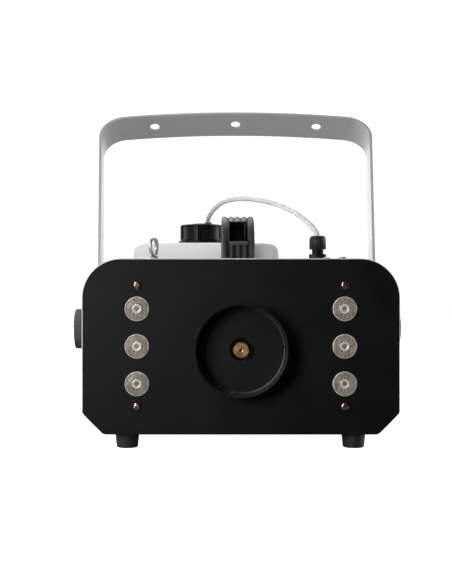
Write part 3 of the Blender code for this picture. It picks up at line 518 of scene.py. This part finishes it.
def brass():
    """Turned brass: fine rings about the nozzle's axis."""
    m = finish_of("turned brass", (0.44, 0.275, 0.122), 0.38, metal=1.0, depth=0.005, blotch=120)
    tree = m.node_tree
    link, new = tree.links.new, tree.nodes.new
    ring_pitch = 0.75 * MM
    coord = new("ShaderNodeTexCoord")
    move = new("ShaderNodeMapping")
    move.inputs["Location"].default_value = (0, 0, -NOZZLE_Z * MM)
    flat = new("ShaderNodeVectorMath")
    flat.operation = "MULTIPLY"
    flat.inputs[1].default_value = (1, 0, 1)
    radius = new("ShaderNodeVectorMath")
    radius.operation = "LENGTH"
    scale = new("ShaderNodeMath")
    scale.operation = "MULTIPLY"
    scale.inputs[1].default_value = 2 * math.pi / ring_pitch
    wave = new("ShaderNodeMath")
    wave.operation = "SINE"
    bump = new("ShaderNodeBump")
    bump.inputs["Distance"].default_value = 0.05 * MM
    bump.inputs["Strength"].default_value = 0.3
    link(coord.outputs["Object"], move.inputs["Vector"])
    link(move.outputs["Vector"], flat.inputs[0])
    link(flat.outputs["Vector"], radius.inputs[0])
    link(radius.outputs["Value"], scale.inputs[0])
    link(scale.outputs[0], wave.inputs[0])
    link(wave.outputs[0], bump.inputs["Height"])
    link(bump.outputs["Normal"], tree.nodes["Principled BSDF"].inputs["Normal"])
    return m


BRASS = brass()


# --------------------------------------------------------------------------------------------- housing
def build_tray():
    edge = PANEL_HALF - TRAY_T / 2
    low = BODY_BOTTOM + TRAY_T / 2
    right = [(edge - CHAMFER, low), (edge, low + CHAMFER), (edge, TRAY_TOP)]
    left = [(-x, z) for x, z in right[::-1]]
    path = fillet(left + right, {i: TRAY_BEND_R for i in range(1, 5)}, 5)
    vents = [box((x - 2, x + 2), (215, 290), (5, 20)) for x in range(-70, 71, 20)]
    body = prism("Y", sheet(path, TRAY_T), PANEL_T + 0.05, LENGTH - PANEL_T - 0.05)
    piece("base_tray_finished", body, TRAY_POWDER, "housing", ["base_tray"], cut=vents,
          bevel=0.25)


def build_front_panel():
    holes = [rod("Y", (s * LENS_X, 0, z), LENS_HOLE_R, -2, 4) for _, s in SIDES for z in LENS_Z]
    holes += [rod("Y", (s * SCREW_X, 0, z), SCREW_HOLE_R, -2, 4, 24) for _, s in SIDES for z in SCREW_Z]
    holes += [rod("Y", (0, 0, NOZZLE_Z), NOZZLE_HOLE_R, -2, 4)]
    piece("front_panel_finished", prism("Y", panel_outline(), 0, PANEL_T), POWDER, "housing", ["front_panel"],
          cut=holes, bevel=0.5, segments=4)


def build_cover():
    foot = BODY_BOTTOM + CHAMFER + 0.4
    outside = arch(COVER_HALF, foot, BODY_TOP, CORNER_R)
    inside = arch(COVER_HALF - COVER_T, foot, BODY_TOP - COVER_T, CORNER_R - COVER_T)
    body = prism("Y", outside + inside[::-1], 0.4, LENGTH)
    cuts = [box(WELL_X, WELL_D, (150, 170))]
    end_r = SLOT_W / 2
    for _, s in SIDES:
        x = (125, 145) if s > 0 else (-145, -125)
        for first, count in SLOT_GROUPS:
            for i in range(count):
                d = first + SLOT_PITCH * i + end_r
                outline = arc(d, SLOT_Z[0] + end_r, end_r, 180, 360, 10)
                outline += arc(d, SLOT_Z[1] - end_r, end_r, 0, 180, 10)
                cuts.append(prism("X", outline, *x))
        cuts.append(rod("X", (0, PIVOT_D, PIVOT_Z), STUD_HOLE_R, *x, 32))
    cuts += [rod("Z", (GLAND_X, GLAND_D, 150), 6.4, 0, 20), rod("Z", (EYE_X, EYE_D, 150), 3.0, 0, 20)]
    cuts += [rod("Z", (x, d, 150), SCREW_HOLE_R, 0, 20, 24) for _, x, d in TOP_SCREWS]
    piece("top_cover_finished", body, GREY_PAINT, "housing", ["top_cover"], cut=cuts,
          bevel=0.22, segments=2)


def build_feet():
    for end, d in zip(("front", "rear"), FOOT_D):
        for side, s in SIDES:
            node = f"foot_{end}_{side}"
            centre = (s * FOOT_X, d, 0)
            body = turned("Z", centre, FOOT_PROFILE)
            piece(f"{node}_finished", body, RUBBER, "housing", [node],
                  cut=[rod("Z", centre, 3.2, -2, 5, 32)], bevel=0.2, segments=2)


# ------------------------------------------------------------------------------------------------ front
def screw_head(axis, centre, node):
    """A pan head with a cross recess. It faces forward on the Y axis and up on the Z axis."""
    sign = -1 if axis == "Y" else 1
    x, d, z = centre
    long = (x - RECESS_HALF_L, x + RECESS_HALF_L)
    cuts = []
    for turn in (RECESS_TURN, RECESS_TURN + math.pi / 2):
        if axis == "Y":
            bar = box(long, (d - RECESS_TO, d - RECESS_FROM), (z - RECESS_HALF_W, z + RECESS_HALF_W))
        else:
            bar = box(long, (d - RECESS_HALF_W, d + RECESS_HALF_W), (z + RECESS_FROM, z + RECESS_TO))
        bmesh.ops.rotate(bar, cent=at(x, d, z), matrix=Matrix.Rotation(turn, 3, axis), verts=bar.verts)
        cuts.append(bar)
    profile = [(r, sign * h) for r, h in SCREW_PROFILE]
    piece(f"{node}_finished", turned(axis, centre, profile, 48), STEEL, "housing", [node],
          cut=cuts, bevel=0.08, segments=2)


def beads(x, z):
    """Raised hexagonal beads, in columns, that fill the face of a lens round its collar."""
    bm = bmesh.new()
    pitch = BEAD_PITCH
    rows = int(BEADS_TO / pitch) + 3
    for i in range(-rows, rows + 1):
        for j in range(-rows, rows + 1):
            cx = i * pitch * math.sqrt(3) / 2
            cz = (j + 0.5 * (i % 2)) * pitch
            if not BEADS_FROM + pitch * 0.45 < math.hypot(cx, cz) < BEADS_TO - pitch * 0.5:
                continue
            top = bm.verts.new(at(x + cx, BEAD_TOP_D, z + cz))
            rim, foot = [], []
            for k in range(6):
                u, v = math.cos(math.radians(60 * k)) * pitch, math.sin(math.radians(60 * k)) * pitch
                rim.append(bm.verts.new(at(x + cx + u * 0.3, BEAD_RIM_D, z + cz + v * 0.3)))
                foot.append(bm.verts.new(at(x + cx + u * 0.5, BEAD_FOOT_D, z + cz + v * 0.5)))
            for k in range(6):
                n = (k + 1) % 6
                bm.faces.new((top, rim[k], rim[n]))
                bm.faces.new((rim[k], foot[k], foot[n], rim[n]))
            bm.faces.new(foot[::-1])
    bmesh.ops.recalc_face_normals(bm, faces=bm.faces)
    return bm


def lens(node, x, z):
    """A beaded disc. Its valleys are painted darker as shade; its collar and its centre have finishes of
    their own.
    """
    body = join(turned("Y", (x, 0, z), LENS_PROFILE, 96), beads(x, z))
    obj = piece(f"{node}_finished", body, LENS, "housing", [node], smooth_angle=60)
    for mat in (LENS_GAP_PAINTED_SHADE, LENS_RING, LENS_CORE):
        obj.data.materials.append(mat)
    for face in obj.data.polygons:
        fx, d, fz = middle_of(face)
        r = math.hypot(fx - x, fz - z)
        if d < 0.5 and r < LENS_CORE_R:
            face.material_index = 3
        elif d < 0.5 and r < LENS_COLLAR_R:
            face.material_index = 2
        # Faces low between the beads: the darker valley colour is painted shade.
        elif -1.6 < d < -1.15 and r < LENS_RIM_R:
            face.material_index = 1


def build_ring():
    centre = (0, 0, NOZZLE_Z)
    inner = RING_R - RING_T
    profile = [
        (9.6, -1.5), (inner - 1.6, -1.5), (inner - 0.5, -1.9), (inner, -3.0), (inner, LIP_D + 0.4),
        (inner + 0.3, LIP_D), (RING_R - 0.3, LIP_D), (RING_R, LIP_D + 0.4), (RING_R, -0.05), (9.6, -0.05),
    ]
    notch = rod("Y", (36.9, 0, NOZZLE_Z + 2.0), 0.9, -2.6, 1, 20)
    body = turned("Y", centre, profile, 128, closed=True)
    ring = piece("nozzle_ring_finished", body, RING_POWDER, "housing", ["nozzle_ring"],
                 cut=[notch], smooth_angle=50)
    # The faces inside the ring's wall take the lighter coat: painted light where the lamp falls on them.
    ring.data.materials.append(RING_WALL_PAINTED_LIGHT)
    for face in ring.data.polygons:
        x, d, z = middle_of(face)
        if d < -1.6 and math.hypot(x, z - NOZZLE_Z) < inner + 0.5:
            face.material_index = 1
    # The tab takes the same lighter coat so it shows bright: painted light.
    tab = [(-8.4, -37.3), (-4.0, -37.7), (-4.2, -35.6), (-6.0, -35.0), (-8.0, -35.6)]
    body = prism("Y", [(x, NOZZLE_Z + z) for x, z in tab], -4.6, -1.5)
    piece("nozzle_ring_tab", body, RING_WALL_PAINTED_LIGHT, "housing", bevel=0.4, segments=2)


def build_nozzle():
    """A hexagon with its corners turned off to a cone, which leaves a round face with an orifice."""
    centre = (0, 0, NOZZLE_Z)
    body = prism("Y", hexagon(0, NOZZLE_Z, NOZZLE_FLATS), -10, 2)
    cone = [(6.3, -11), (9.5, -11), (9.5, -5.5), (7.5, -7.2), (7.1, -9.1), (6.3, -9.95)]
    orifice = [(0, -10.6), (2.1, -10.6), (1.7, -10.0), (0.8, -9.5), (0.75, -4), (0, -4)]
    cuts = [turned("Y", centre, cone, 96, closed=True), turned("Y", centre, orifice, 48)]
    piece("nozzle_finished", body, BRASS, "housing", ["nozzle"],
          add=[rod("Y", centre, 6.0, 1, 29)], cut=cuts, bevel=0.12, segments=2, smooth_angle=30)
    # A near-black plug down the orifice: painted shade in the hole.
    shade_plug = [(0, -9.3), (0.72, -9.3), (0.72, -4.5), (0, -4.5)]
    piece("nozzle_orifice", turned("Y", centre, shade_plug, 24), PAINTED_SHADE, "housing")


def build_front():
    for side, s in SIDES:
        for row, z in zip(("low", "middle", "high"), LENS_Z):
            lens(f"lens_{side}_{row}", s * LENS_X, z)
        for row, z in zip(("low", "high"), SCREW_Z):
            screw_head("Y", (s * SCREW_X, 0, z), f"front_screw_{side}_{row}")
    build_ring()
    build_nozzle()


# -------------------------------------------------------------------------------------------------- top
def build_top_screws():
    for node, x, d in TOP_SCREWS:
        screw_head("Z", (x, d, BODY_TOP), node)


def build_eye_bolt():
    centre = (EYE_X, EYE_D, BODY_TOP + 11.9)
    foot = (EYE_X, EYE_D, BODY_TOP)
    wire = [2 * math.pi * k / 16 for k in range(16)]
    profile = [(EYE_R + EYE_WIRE_R * math.cos(a), EYE_WIRE_R * math.sin(a)) for a in wire]
    ring = turned("Y", centre, profile, 72, closed=True)
    turn = Matrix.Rotation(math.radians(70), 3, "Z")
    bmesh.ops.rotate(ring, cent=at(*centre), matrix=turn, verts=ring.verts)
    shank = [(0, -12), (2.5, -12), (2.5, 3.0), (3.4, 3.6), (2.2, 4.6), (0, 4.6)]
    body = join(ring, turned("Z", foot, shank, 32))
    piece("eye_bolt_finished", body, EYE_STEEL, "housing", ["eye_bolt"])
    washer = [(0, 0.02), (5.1, 0.02), (5.1, 1.1), (4.9, 1.25), (0, 1.25)]
    nut = prism("Z", hexagon(EYE_X, EYE_D, 7.6, turn=0.4), BODY_TOP + 1.25, BODY_TOP + 3.2)
    body = join(turned("Z", foot, washer, 48), nut)
    piece("eye_bolt_nut", body, EYE_NUT, "housing", bevel=0.2, segments=2)


def build_gland():
    axis = (GLAND_X, GLAND_D, 0)
    base = prism("Z", hexagon(GLAND_X, GLAND_D, 15.0, turn=0.26), BODY_TOP + 0.05, BODY_TOP + 5.8)
    threads = [(0, -12), (6.0, -12), (6.0, 5.0), (5.5, 5.8)]
    for k in range(4):
        z = 6.0 + k * 1.1
        threads += [(5.5, z), (5.2, z + 0.4), (5.5, z + 0.8)]
    threads += [(5.5, 15), (3.0, 15), (3.0, 14.0), (0, 14.0)]
    piece("gland_body_finished", base, GLAND_PA, "housing", ["gland_body"],
          add=[turned("Z", axis, [(r, BODY_TOP + h) for r, h in threads], 48)], bevel=0.35)

    def flutes(a, r, h):
        return (r - (0.45 * max(0.0, math.cos(12 * a)) ** 2 if r > 6.3 else 0), h)

    nut = [
        (5.8, 10.3), (7.3, 10.3), (7.7, 10.7), (7.7, 18.9), (7.6, 19.9), (7.25, 21.1), (6.6, 22.1),
        (5.7, 22.7), (4.6, 22.9), (3.1, 22.9), (2.7, 22.5), (2.7, 19.8), (5.8, 16.3),
    ]
    body = turned("Z", axis, [(r, BODY_TOP + h) for r, h in nut], 144, closed=True, shape=flutes)
    piece("gland_nut_finished", body, GLAND_PA, "housing", ["gland_nut"], smooth_angle=45)


def build_hose():
    """The hose rises out of the cap, arches over the handle and comes down into the gland.

    Each point is the share of the way from the cap to the gland, and the height there.
    """
    heights = [
        (0.0, 205.0), (0.0, 209.0), (0.006, 212.8), (0.03, 217.4), (0.076, 223.1), (0.15, 228.1),
        (0.26, 230.3), (0.38, 229.2), (0.5, 226.2), (0.62, 221.8), (0.73, 215.8), (0.835, 208.2),
        (0.92, 199.8), (0.968, 193.0), (0.993, 188.2), (1.0, 183.5), (1.0, 178.2),
    ]
    across, forward = GLAND_X - HOSE_X, GLAND_D - CAP_D
    route = [at(HOSE_X + across * share, CAP_D + forward * share, z) for share, z in heights]
    line = smooth_route(route, 150)
    hose = piece("fluid_hose_finished", swept(line, HOSE_R * MM), HOSE_PE, None, ["fluid_hose"],
                 smooth_angle=60)
    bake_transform(hose)


# ----------------------------------------------------------------------------------------------- handle
def rib(x):
    """How far the back stands proud at this place across the width: low in a groove, 1 on a rib."""
    if abs(x) > 0.8 * HANDLE_HALF:
        return 1.0
    share = (x + HANDLE_HALF) / (2 * HANDLE_HALF)
    return 0.25 + 0.75 * abs(math.sin(math.pi * HANDLE_RIBS * share)) ** 0.8


def edge_drop(x):
    """How far the edge is turned down at this place across the width, from 0 to 1."""
    edge = min(1.0, (HANDLE_HALF - abs(x)) / 2.4)
    return 1 - math.sqrt(max(0.0, edge * (2 - edge)))


def groove_depth(z):
    """Deep at the arch's feet, shallow beside the pocket and middling over its crown."""
    if z < 17:
        return 4.1
    return 1.0 + 3.1 * max(0.0, 1 - (z - 17) / 4) + 1.6 * min(1.0, max(0.0, (z - 34) / 6))


def handle_arch():
    """The ribbed arch, from its back and its belly seen from the side."""
    base = BODY_TOP + 0.1
    outer = [
        (88, 0), (88.6, 6), (92.5, 14.5), (99, 24), (107, 32.5), (118, 39.5), (133, 43.6), (150, 44.9),
        (167, 43.6), (182, 39.5), (193, 32.5), (201, 24), (207, 14.5), (210, 6), (210.5, 0),
    ]
    inner = [
        (102, 0), (103, 6), (108, 14), (116, 22.5), (128, 29), (139, 31.4), (150, 32), (161, 31.4), (172, 29),
        (184, 22.5), (192, 14), (196, 6), (197, 0),
    ]
    back = smooth_route([(d, z, 0) for d, z in outer], HANDLE_STEPS)
    belly = smooth_route([(d, z, 0) for d, z in inner], HANDLE_STEPS)
    bm = bmesh.new()
    top, low = [], []
    for b, e in zip(back, belly):
        normal = (b - e).normalized()
        row_top, row_low = [], []
        for j in range(HANDLE_ACROSS):
            x = -HANDLE_HALF + 2 * HANDLE_HALF * j / (HANDLE_ACROSS - 1)
            p = b - normal * (groove_depth(b.y) * (1 - rib(x)) + 2.2 * edge_drop(x))
            q = e + normal * 0.6 * (1 - math.sqrt(max(0.0, 1 - (x / HANDLE_HALF) ** 6)))
            row_top.append(bm.verts.new(at(x, p.x, base + max(0, p.y))))
            row_low.append(bm.verts.new(at(x, q.x, base + max(0, q.y))))
        top.append(row_top)
        low.append(row_low)
    for i in range(HANDLE_STEPS):
        for j in range(HANDLE_ACROSS - 1):
            bm.faces.new((top[i][j], top[i][j + 1], top[i + 1][j + 1], top[i + 1][j]))
            bm.faces.new((low[i][j], low[i + 1][j], low[i + 1][j + 1], low[i][j + 1]))
        for j in (0, HANDLE_ACROSS - 1):
            bm.faces.new((top[i][j], top[i + 1][j], low[i + 1][j], low[i][j]))
    for i in (0, HANDLE_STEPS):
        for j in range(HANDLE_ACROSS - 1):
            bm.faces.new((top[i][j], top[i][j + 1], low[i][j + 1], low[i][j]))
    bmesh.ops.recalc_face_normals(bm, faces=bm.faces)
    return bm


def build_handle():
    """A ribbed arch with a pocket in its front slope, its back covered by a sheet of painted shade, with a
    web and a lip.
    """
    pocket = [
        (80, 180.2), (106.2, 180.2), (108.4, 182.3), (113.6, 187.9), (126, 194.6), (126, 201), (80, 201),
    ]
    piece("carry_handle_finished", handle_arch(), HANDLE_PP, "housing", ["carry_handle"],
          cut=[prism("X", pocket, -8.5, 8.5)], smooth_angle=40)
    # A near-black sheet over the pocket's back: painted shade in the pocket.
    shade_sheet_line = [(99.0, 180.7), (105.9, 180.7), (108.0, 182.8), (113.3, 188.4), (125.4, 195.0), (125.4, 200.5)]
    body = prism("X", sheet(shade_sheet_line, 0.6), -8.3, 8.3)
    piece("carry_handle_lining", body, PAINTED_SHADE, "housing")
    web = [(104.5, 181.2), (113.5, 188.5), (124, 195), (124, 199.5), (112, 199.5), (101, 187)]
    piece("carry_handle_web", prism("X", web, 6.0, 6.9), HANDLE_PP, "housing", bevel=0.2)
    lip = sheet(fillet([(93.6, 177.6), (95.1, 180.9), (97.2, 178.9)], {1: 0.9}, 5), 1.9)
    piece("carry_handle_lip", prism("X", lip, -9.0, 9.0), KNOB_PP, "housing", bevel=0.3)


# ------------------------------------------------------------------------------------------------- tank
def tank_shell():
    """The tank's outside; a level is a height and how far it is drawn in at the sides and the ends."""
    low, high = TANK_Z
    levels = [(low, 2.5, 2.5), (low + 0.7, 0.7, 0.7), (low + 2.5, 0, 0), (120, 0, 0), (172.8, 0, 0)]
    for k in range(17):
        a = math.pi / 2 * k / 16
        drop = TANK_SHOULDER * (1 - math.sin(a))
        rise = max(0.0, TANK_EDGE - drop)
        in_ends = TANK_EDGE - math.sqrt(max(0.0, TANK_EDGE ** 2 - rise ** 2))
        levels.append((high - drop, TANK_SHOULDER * (1 - math.cos(a)), in_ends))
    bm = bmesh.new()
    rings = []
    for z, in_x, in_d in levels:
        x, d = (TANK_X[0] + in_x, TANK_X[1] - in_x), (TANK_D[0] + in_d, TANK_D[1] - in_d)
        outline = rounded_rect(x, d, 9.0 - 0.5 * max(0.0, in_d), 12)
        rings.append([bm.verts.new(at(u, v, z)) for u, v in outline])
    skin(bm, rings)
    bm.faces.new(rings[0])
    bm.faces.new(rings[-1])
    bmesh.ops.recalc_face_normals(bm, faces=bm.faces)
    return bm


def grip(a, r, h):
    """Clusters of fine ribs round the cap, with a sunk panel between each two."""
    low, high = GRIP_Z
    if r < 22.5 or not low < h < high:
        return r, h
    every, cluster, first = 360.0 / GRIP_RIBS, 10.5, 44.5
    turn = (math.degrees(a) - first) % every
    if turn < cluster:
        return r + 0.7 * math.cos(math.radians(turn / cluster * 360 * 2)) - 0.55, h
    inset = min(turn - cluster, every - turn)
    inside = inset > 3.2 and min(h - low, high - h) > 1.5
    return (r - 1.1 if inside else r), h


def build_tank():
    neck = (CAP_X, CAP_D, 0)
    piece("tank_finished", tank_shell(), TANK_PE, "tank", ["tank", "tank_top"], smooth_angle=50)
    collar = turned("Z", neck, [(15, 183), (18.2, 183), (18.2, 203), (15, 203)], 96, closed=True)
    piece("tank_neck", collar, TANK_PE, "tank", smooth_angle=50)

    wall = (188.7, 189.1, 189.7, 190.3, 190.5, 197.5, 203.4, 203.6, 204.1, 204.6)
    profile = [(18.9, 185.3), (25.4, 185.3), (25.7, 185.6), (25.7, 187.5), (25.4, 187.9), (23.8, 188.3)]
    profile += [(GRIP_R, z) for z in wall]
    profile += [(23.1, 205.3), (22.4, 205.9), (21.4, 206.0), (14.3, 206.0), (14.3, 204.9), (18.9, 204.9)]
    body = turned("Z", neck, profile, 720, closed=True, shape=grip)
    piece("cap_ring_finished", body, CAP_PP, "cap", ["cap_ring"], smooth_angle=38)

    dome = [
        (0, 196), (15.0, 196), (15.0, 204.9), (14.1, 204.9), (14.1, 206.1), (13.6, 206.5), (10.5, 207.3),
        (6, 207.9), (0, 208.2),
    ]
    grommet = [(0, 205), (4.6, 205), (4.6, 208.0), (4.2, 208.6), (3.2, 208.9), (0, 208.9)]
    body = join(
        turned("Z", neck, dome, 72),
        turned("Z", (HOSE_X, CAP_D, 0), grommet, 40),
        rod("Z", (HOSE_X, CAP_D, 0), 3.0, 80, 197, 24),
    )
    piece("cap_insert_finished", body, CAP_PP, "tank", ["cap_insert"], smooth_angle=40)


# ---------------------------------------------------------------------------------------------- bracket
def build_bracket():
    """One bent strip. It is built upright about the pivot, then leaned back with all that cuts it.

    Each leg runs straight up to the kink, then spreads out to the strap's corner. The strap bows up a little.
    """
    mid = STRIP_T / 2
    leg = LEG_OUTER - mid
    top = STRAP_RISE + mid
    corner = STRAP_OUTER - mid + 1.4
    end = STRIP_W / 2
    strap_x = (-118, -98, -78, -59, -39, -20, 0, 20, 39, 59, 78, 98, 118)
    strap = [(x, top - x * x / (2 * BOW_R)) for x in strap_x]
    corner_z = top - corner * corner / (2 * BOW_R)
    line = [(-leg, -end), (-leg, KINK_RISE), (-corner, corner_z)] + strap
    line += [(corner, corner_z), (leg, KINK_RISE), (leg, -end)]
    last = len(line) - 1
    line = fillet(line, {1: KINK_R, 2: STRAP_CORNER_R, last - 2: STRAP_CORNER_R, last - 1: KINK_R})
    line = [(x + SWAY * max(0.0, z - KINK_RISE), z) for x, z in line]
    section = [(x, PIVOT_Z + z) for x, z in sheet(line, STRIP_T)]
    body = prism("Y", section, PIVOT_D - end, PIVOT_D + end)
    cuts = []
    for _, s in SIDES:
        x = (130, 150) if s > 0 else (-150, -130)
        outline = [
            (PIVOT_D - 19, PIVOT_Z), (PIVOT_D - 19, PIVOT_Z - 20),
            (PIVOT_D + 19, PIVOT_Z - 20), (PIVOT_D + 19, PIVOT_Z),
        ]
        outline += arc(PIVOT_D, PIVOT_Z, end, 0, -180, 32)
        cuts.append(prism("X", outline, *x))
        cuts.append(rod("X", (0, PIVOT_D, PIVOT_Z), PIVOT_HOLE_R, *x, 32))
    for x in STRAP_HOLES:
        cuts.append(rod("Z", (x + SWAY * STRAP_RISE, PIVOT_D, PIVOT_Z), STRAP_HOLE_R, 270, 310))
    lean = Matrix.Rotation(-LEAN, 3, "X")
    for bm in [body] + cuts:
        bmesh.ops.rotate(bm, cent=at(0, PIVOT_D, PIVOT_Z), matrix=lean, verts=bm.verts)
    piece("bracket_finished", body, BRACKET_PAINT, "bracket", ["bracket"], cut=cuts,
          bevel=0.45, angle=50)


def build_knobs():
    def knurl(a, r, h):
        return (r - 0.45 * (0.5 - 0.5 * math.cos(64 * a)) if r > 19.0 else r), h

    axis = (0, PIVOT_D, PIVOT_Z)
    knob = [
        (0, 118), (4.0, 118), (4.0, 140.6), (9.0, 140.6), (9.5, 142.5), (17.0, 142.6), (19.3, 143.2),
        (19.9, 144.2), (20.0, 145.0), (20.0, 159.6), (19.7, 160.6), (19.0, 161.2), (17.6, 161.4),
        (15.4, 160.6), (0, 160.2),
    ]
    washer = [(4.6, 135.6), (16, 135.6), (16, 136.8), (4.6, 136.8)]
    for side, s in SIDES:
        body = turned("X", axis, [(r, s * h) for r, h in knob], 512, shape=knurl)
        node = f"knob_{side}"
        piece(f"{node}_finished", body, KNOB_PP, node, [node], smooth_angle=50)
        body = turned("X", axis, [(r, s * h) for r, h in washer], closed=True)
        node = f"pivot_washer_{side}"
        piece(f"{node}_finished", body, NYLON, "housing", [node], bevel=0.15)


# --------------------------------------------------------------------------------------- carried nodes
CARRIED = {
    "rear_panel": POWDER, "tank_tray": ZINC, "heater_block": HEATER, "heater_support": ZINC,
    "pump_bracket": ZINC, "thermostat": CERAMIC, "pump_body": PUMP_RED, "pump_plunger": STEEL,
    "control_board": BOARD, "led_board_left": LED_BOARD, "led_board_right": LED_BOARD, "delivery_pipe": STEEL,
    "inlet_hose": HOSE_PE, "power_inlet": SOCKET, "switch_frame": SOCKET, "switch_rocker": ROCKER_RED,
    "fuse_cap": SOCKET, "display_module": DISPLAY, "menu_key_1": KEY_PP, "menu_key_2": KEY_PP,
    "menu_key_3": KEY_PP, "menu_key_4": KEY_PP, "dmx_in": NICKEL, "dmx_out": NICKEL,
}


def build_carried():
    """The nodes that keep their CAD shape, each with a finish of its own."""
    for node, mat in CARRIED.items():
        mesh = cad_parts[node].data
        mesh.materials.clear()
        mesh.materials.append(mat)
        mesh.shade_smooth()
        mesh.set_sharp_from_angle(angle=math.radians(30))


# ------------------------------------------------------------------------------------------------ stage
def area(name, place, target, size, power, size_y=None):
    """An area light, hidden from the camera. Place, target and size are in metres, power in watts."""
    data = bpy.data.lights.new(name, "AREA")
    data.energy = power
    data.size = size
    if size_y:
        data.shape, data.size_y = "RECTANGLE", size_y
    obj = bpy.data.objects.new(name, data)
    obj.location = place
    obj.rotation_euler = (Vector(target) - Vector(place)).to_track_quat("-Z", "Y").to_euler()
    obj.visible_camera = False
    bpy.context.scene.collection.objects.link(obj)
    return obj


def build_floor():
    """A pale floor that the camera sees as near white and the object sees as a dim one."""
    size, z = 6.0, -0.0002
    corners = ((-size, -size), (size, -size), (size, size), (-size, size))
    bm = bmesh.new()
    bm.faces.new([bm.verts.new((x, y, z)) for x, y in corners])
    obj = raw("floor", bm)
    m, tree, p = nodes_of("floor white")
    p.inputs["Base Color"].default_value = (0.1, 0.1, 0.1, 1)
    p.inputs["Roughness"].default_value = 0.9
    p.inputs["Specular IOR Level"].default_value = 0.0
    new, link = tree.nodes.new, tree.links.new
    bright = new("ShaderNodeEmission")
    bright.inputs["Strength"].default_value = 0.97
    pale = new("ShaderNodeBsdfDiffuse")
    pale.inputs["Color"].default_value = (0.9, 0.9, 0.9, 1)
    both = new("ShaderNodeAddShader")
    mix = new("ShaderNodeMixShader")
    path = new("ShaderNodeLightPath")
    link(bright.outputs[0], both.inputs[0])
    link(pale.outputs[0], both.inputs[1])
    link(path.outputs["Is Camera Ray"], mix.inputs["Fac"])
    link(p.outputs[0], mix.inputs[1])
    link(both.outputs[0], mix.inputs[2])
    link(mix.outputs[0], tree.nodes["Material Output"].inputs["Surface"])
    obj.data.materials.append(m)


def build_world():
    """White to the camera and dim to the object."""
    world = bpy.data.worlds.new("studio")
    bpy.context.scene.world = world
    world.use_nodes = True
    tree = world.node_tree
    tree.nodes.clear()
    new, link = tree.nodes.new, tree.links.new
    out = new("ShaderNodeOutputWorld")
    mix = new("ShaderNodeMixShader")
    path = new("ShaderNodeLightPath")
    link(path.outputs["Is Camera Ray"], mix.inputs["Fac"])
    for socket, strength in ((1, 0.04), (2, 1.1)):
        shade = new("ShaderNodeBackground")
        shade.inputs["Color"].default_value = (1, 1, 1, 1)
        shade.inputs["Strength"].default_value = strength
        link(shade.outputs[0], mix.inputs[socket])
    link(mix.outputs[0], out.inputs["Surface"])


def build_lights():
    key = area("key", (-0.42, -0.84, 0.24), (0.0, -0.166, 0.07), 0.32, 0.7)
    key.data.spread = math.radians(64)
    area("top", (-0.1, 1.2, 1.4), (0, 0.05, 0.1), 1.2, 24)
    area("high front", (-0.8, -0.75, 1.3), (0, 0, 0.15), 0.6, 9)
    area("left", (-1.9, 0.4, 0.6), (0, 0.1, 0.25), 1.0, 27)
    area("right", (1.9, 0.4, 0.5), (0, 0.1, 0.25), 1.0, 34)
    area("backdrop", (0, 2.3, 0.9), (0, 0, 0.5), 4.2, 42, size_y=2.2)


def build_camera():
    """A level camera ahead of the panel and a little to its left, shifted to frame it as in the photo."""
    camera = bpy.data.cameras.new("camera")
    camera.lens, camera.sensor_width = 65.8, 36.0
    camera.shift_x, camera.shift_y = 0.01884, -0.01199
    camera.clip_start = 0.05
    obj = bpy.data.objects.new("camera", camera)
    obj.location = at(-22.0, -908.0, 140.3)
    obj.rotation_euler = (math.radians(90), 0, 0)
    scene = bpy.context.scene
    scene.collection.objects.link(obj)
    scene.camera = obj
    scene.view_settings.view_transform = "Standard"
    scene.view_settings.look = "None"


build_tray()
build_front_panel()
build_cover()
build_feet()
build_front()
build_top_screws()
build_eye_bolt()
build_gland()
build_hose()
build_handle()
build_tank()
build_bracket()
build_knobs()
build_carried()
build_floor()
build_world()
build_lights()
build_camera()
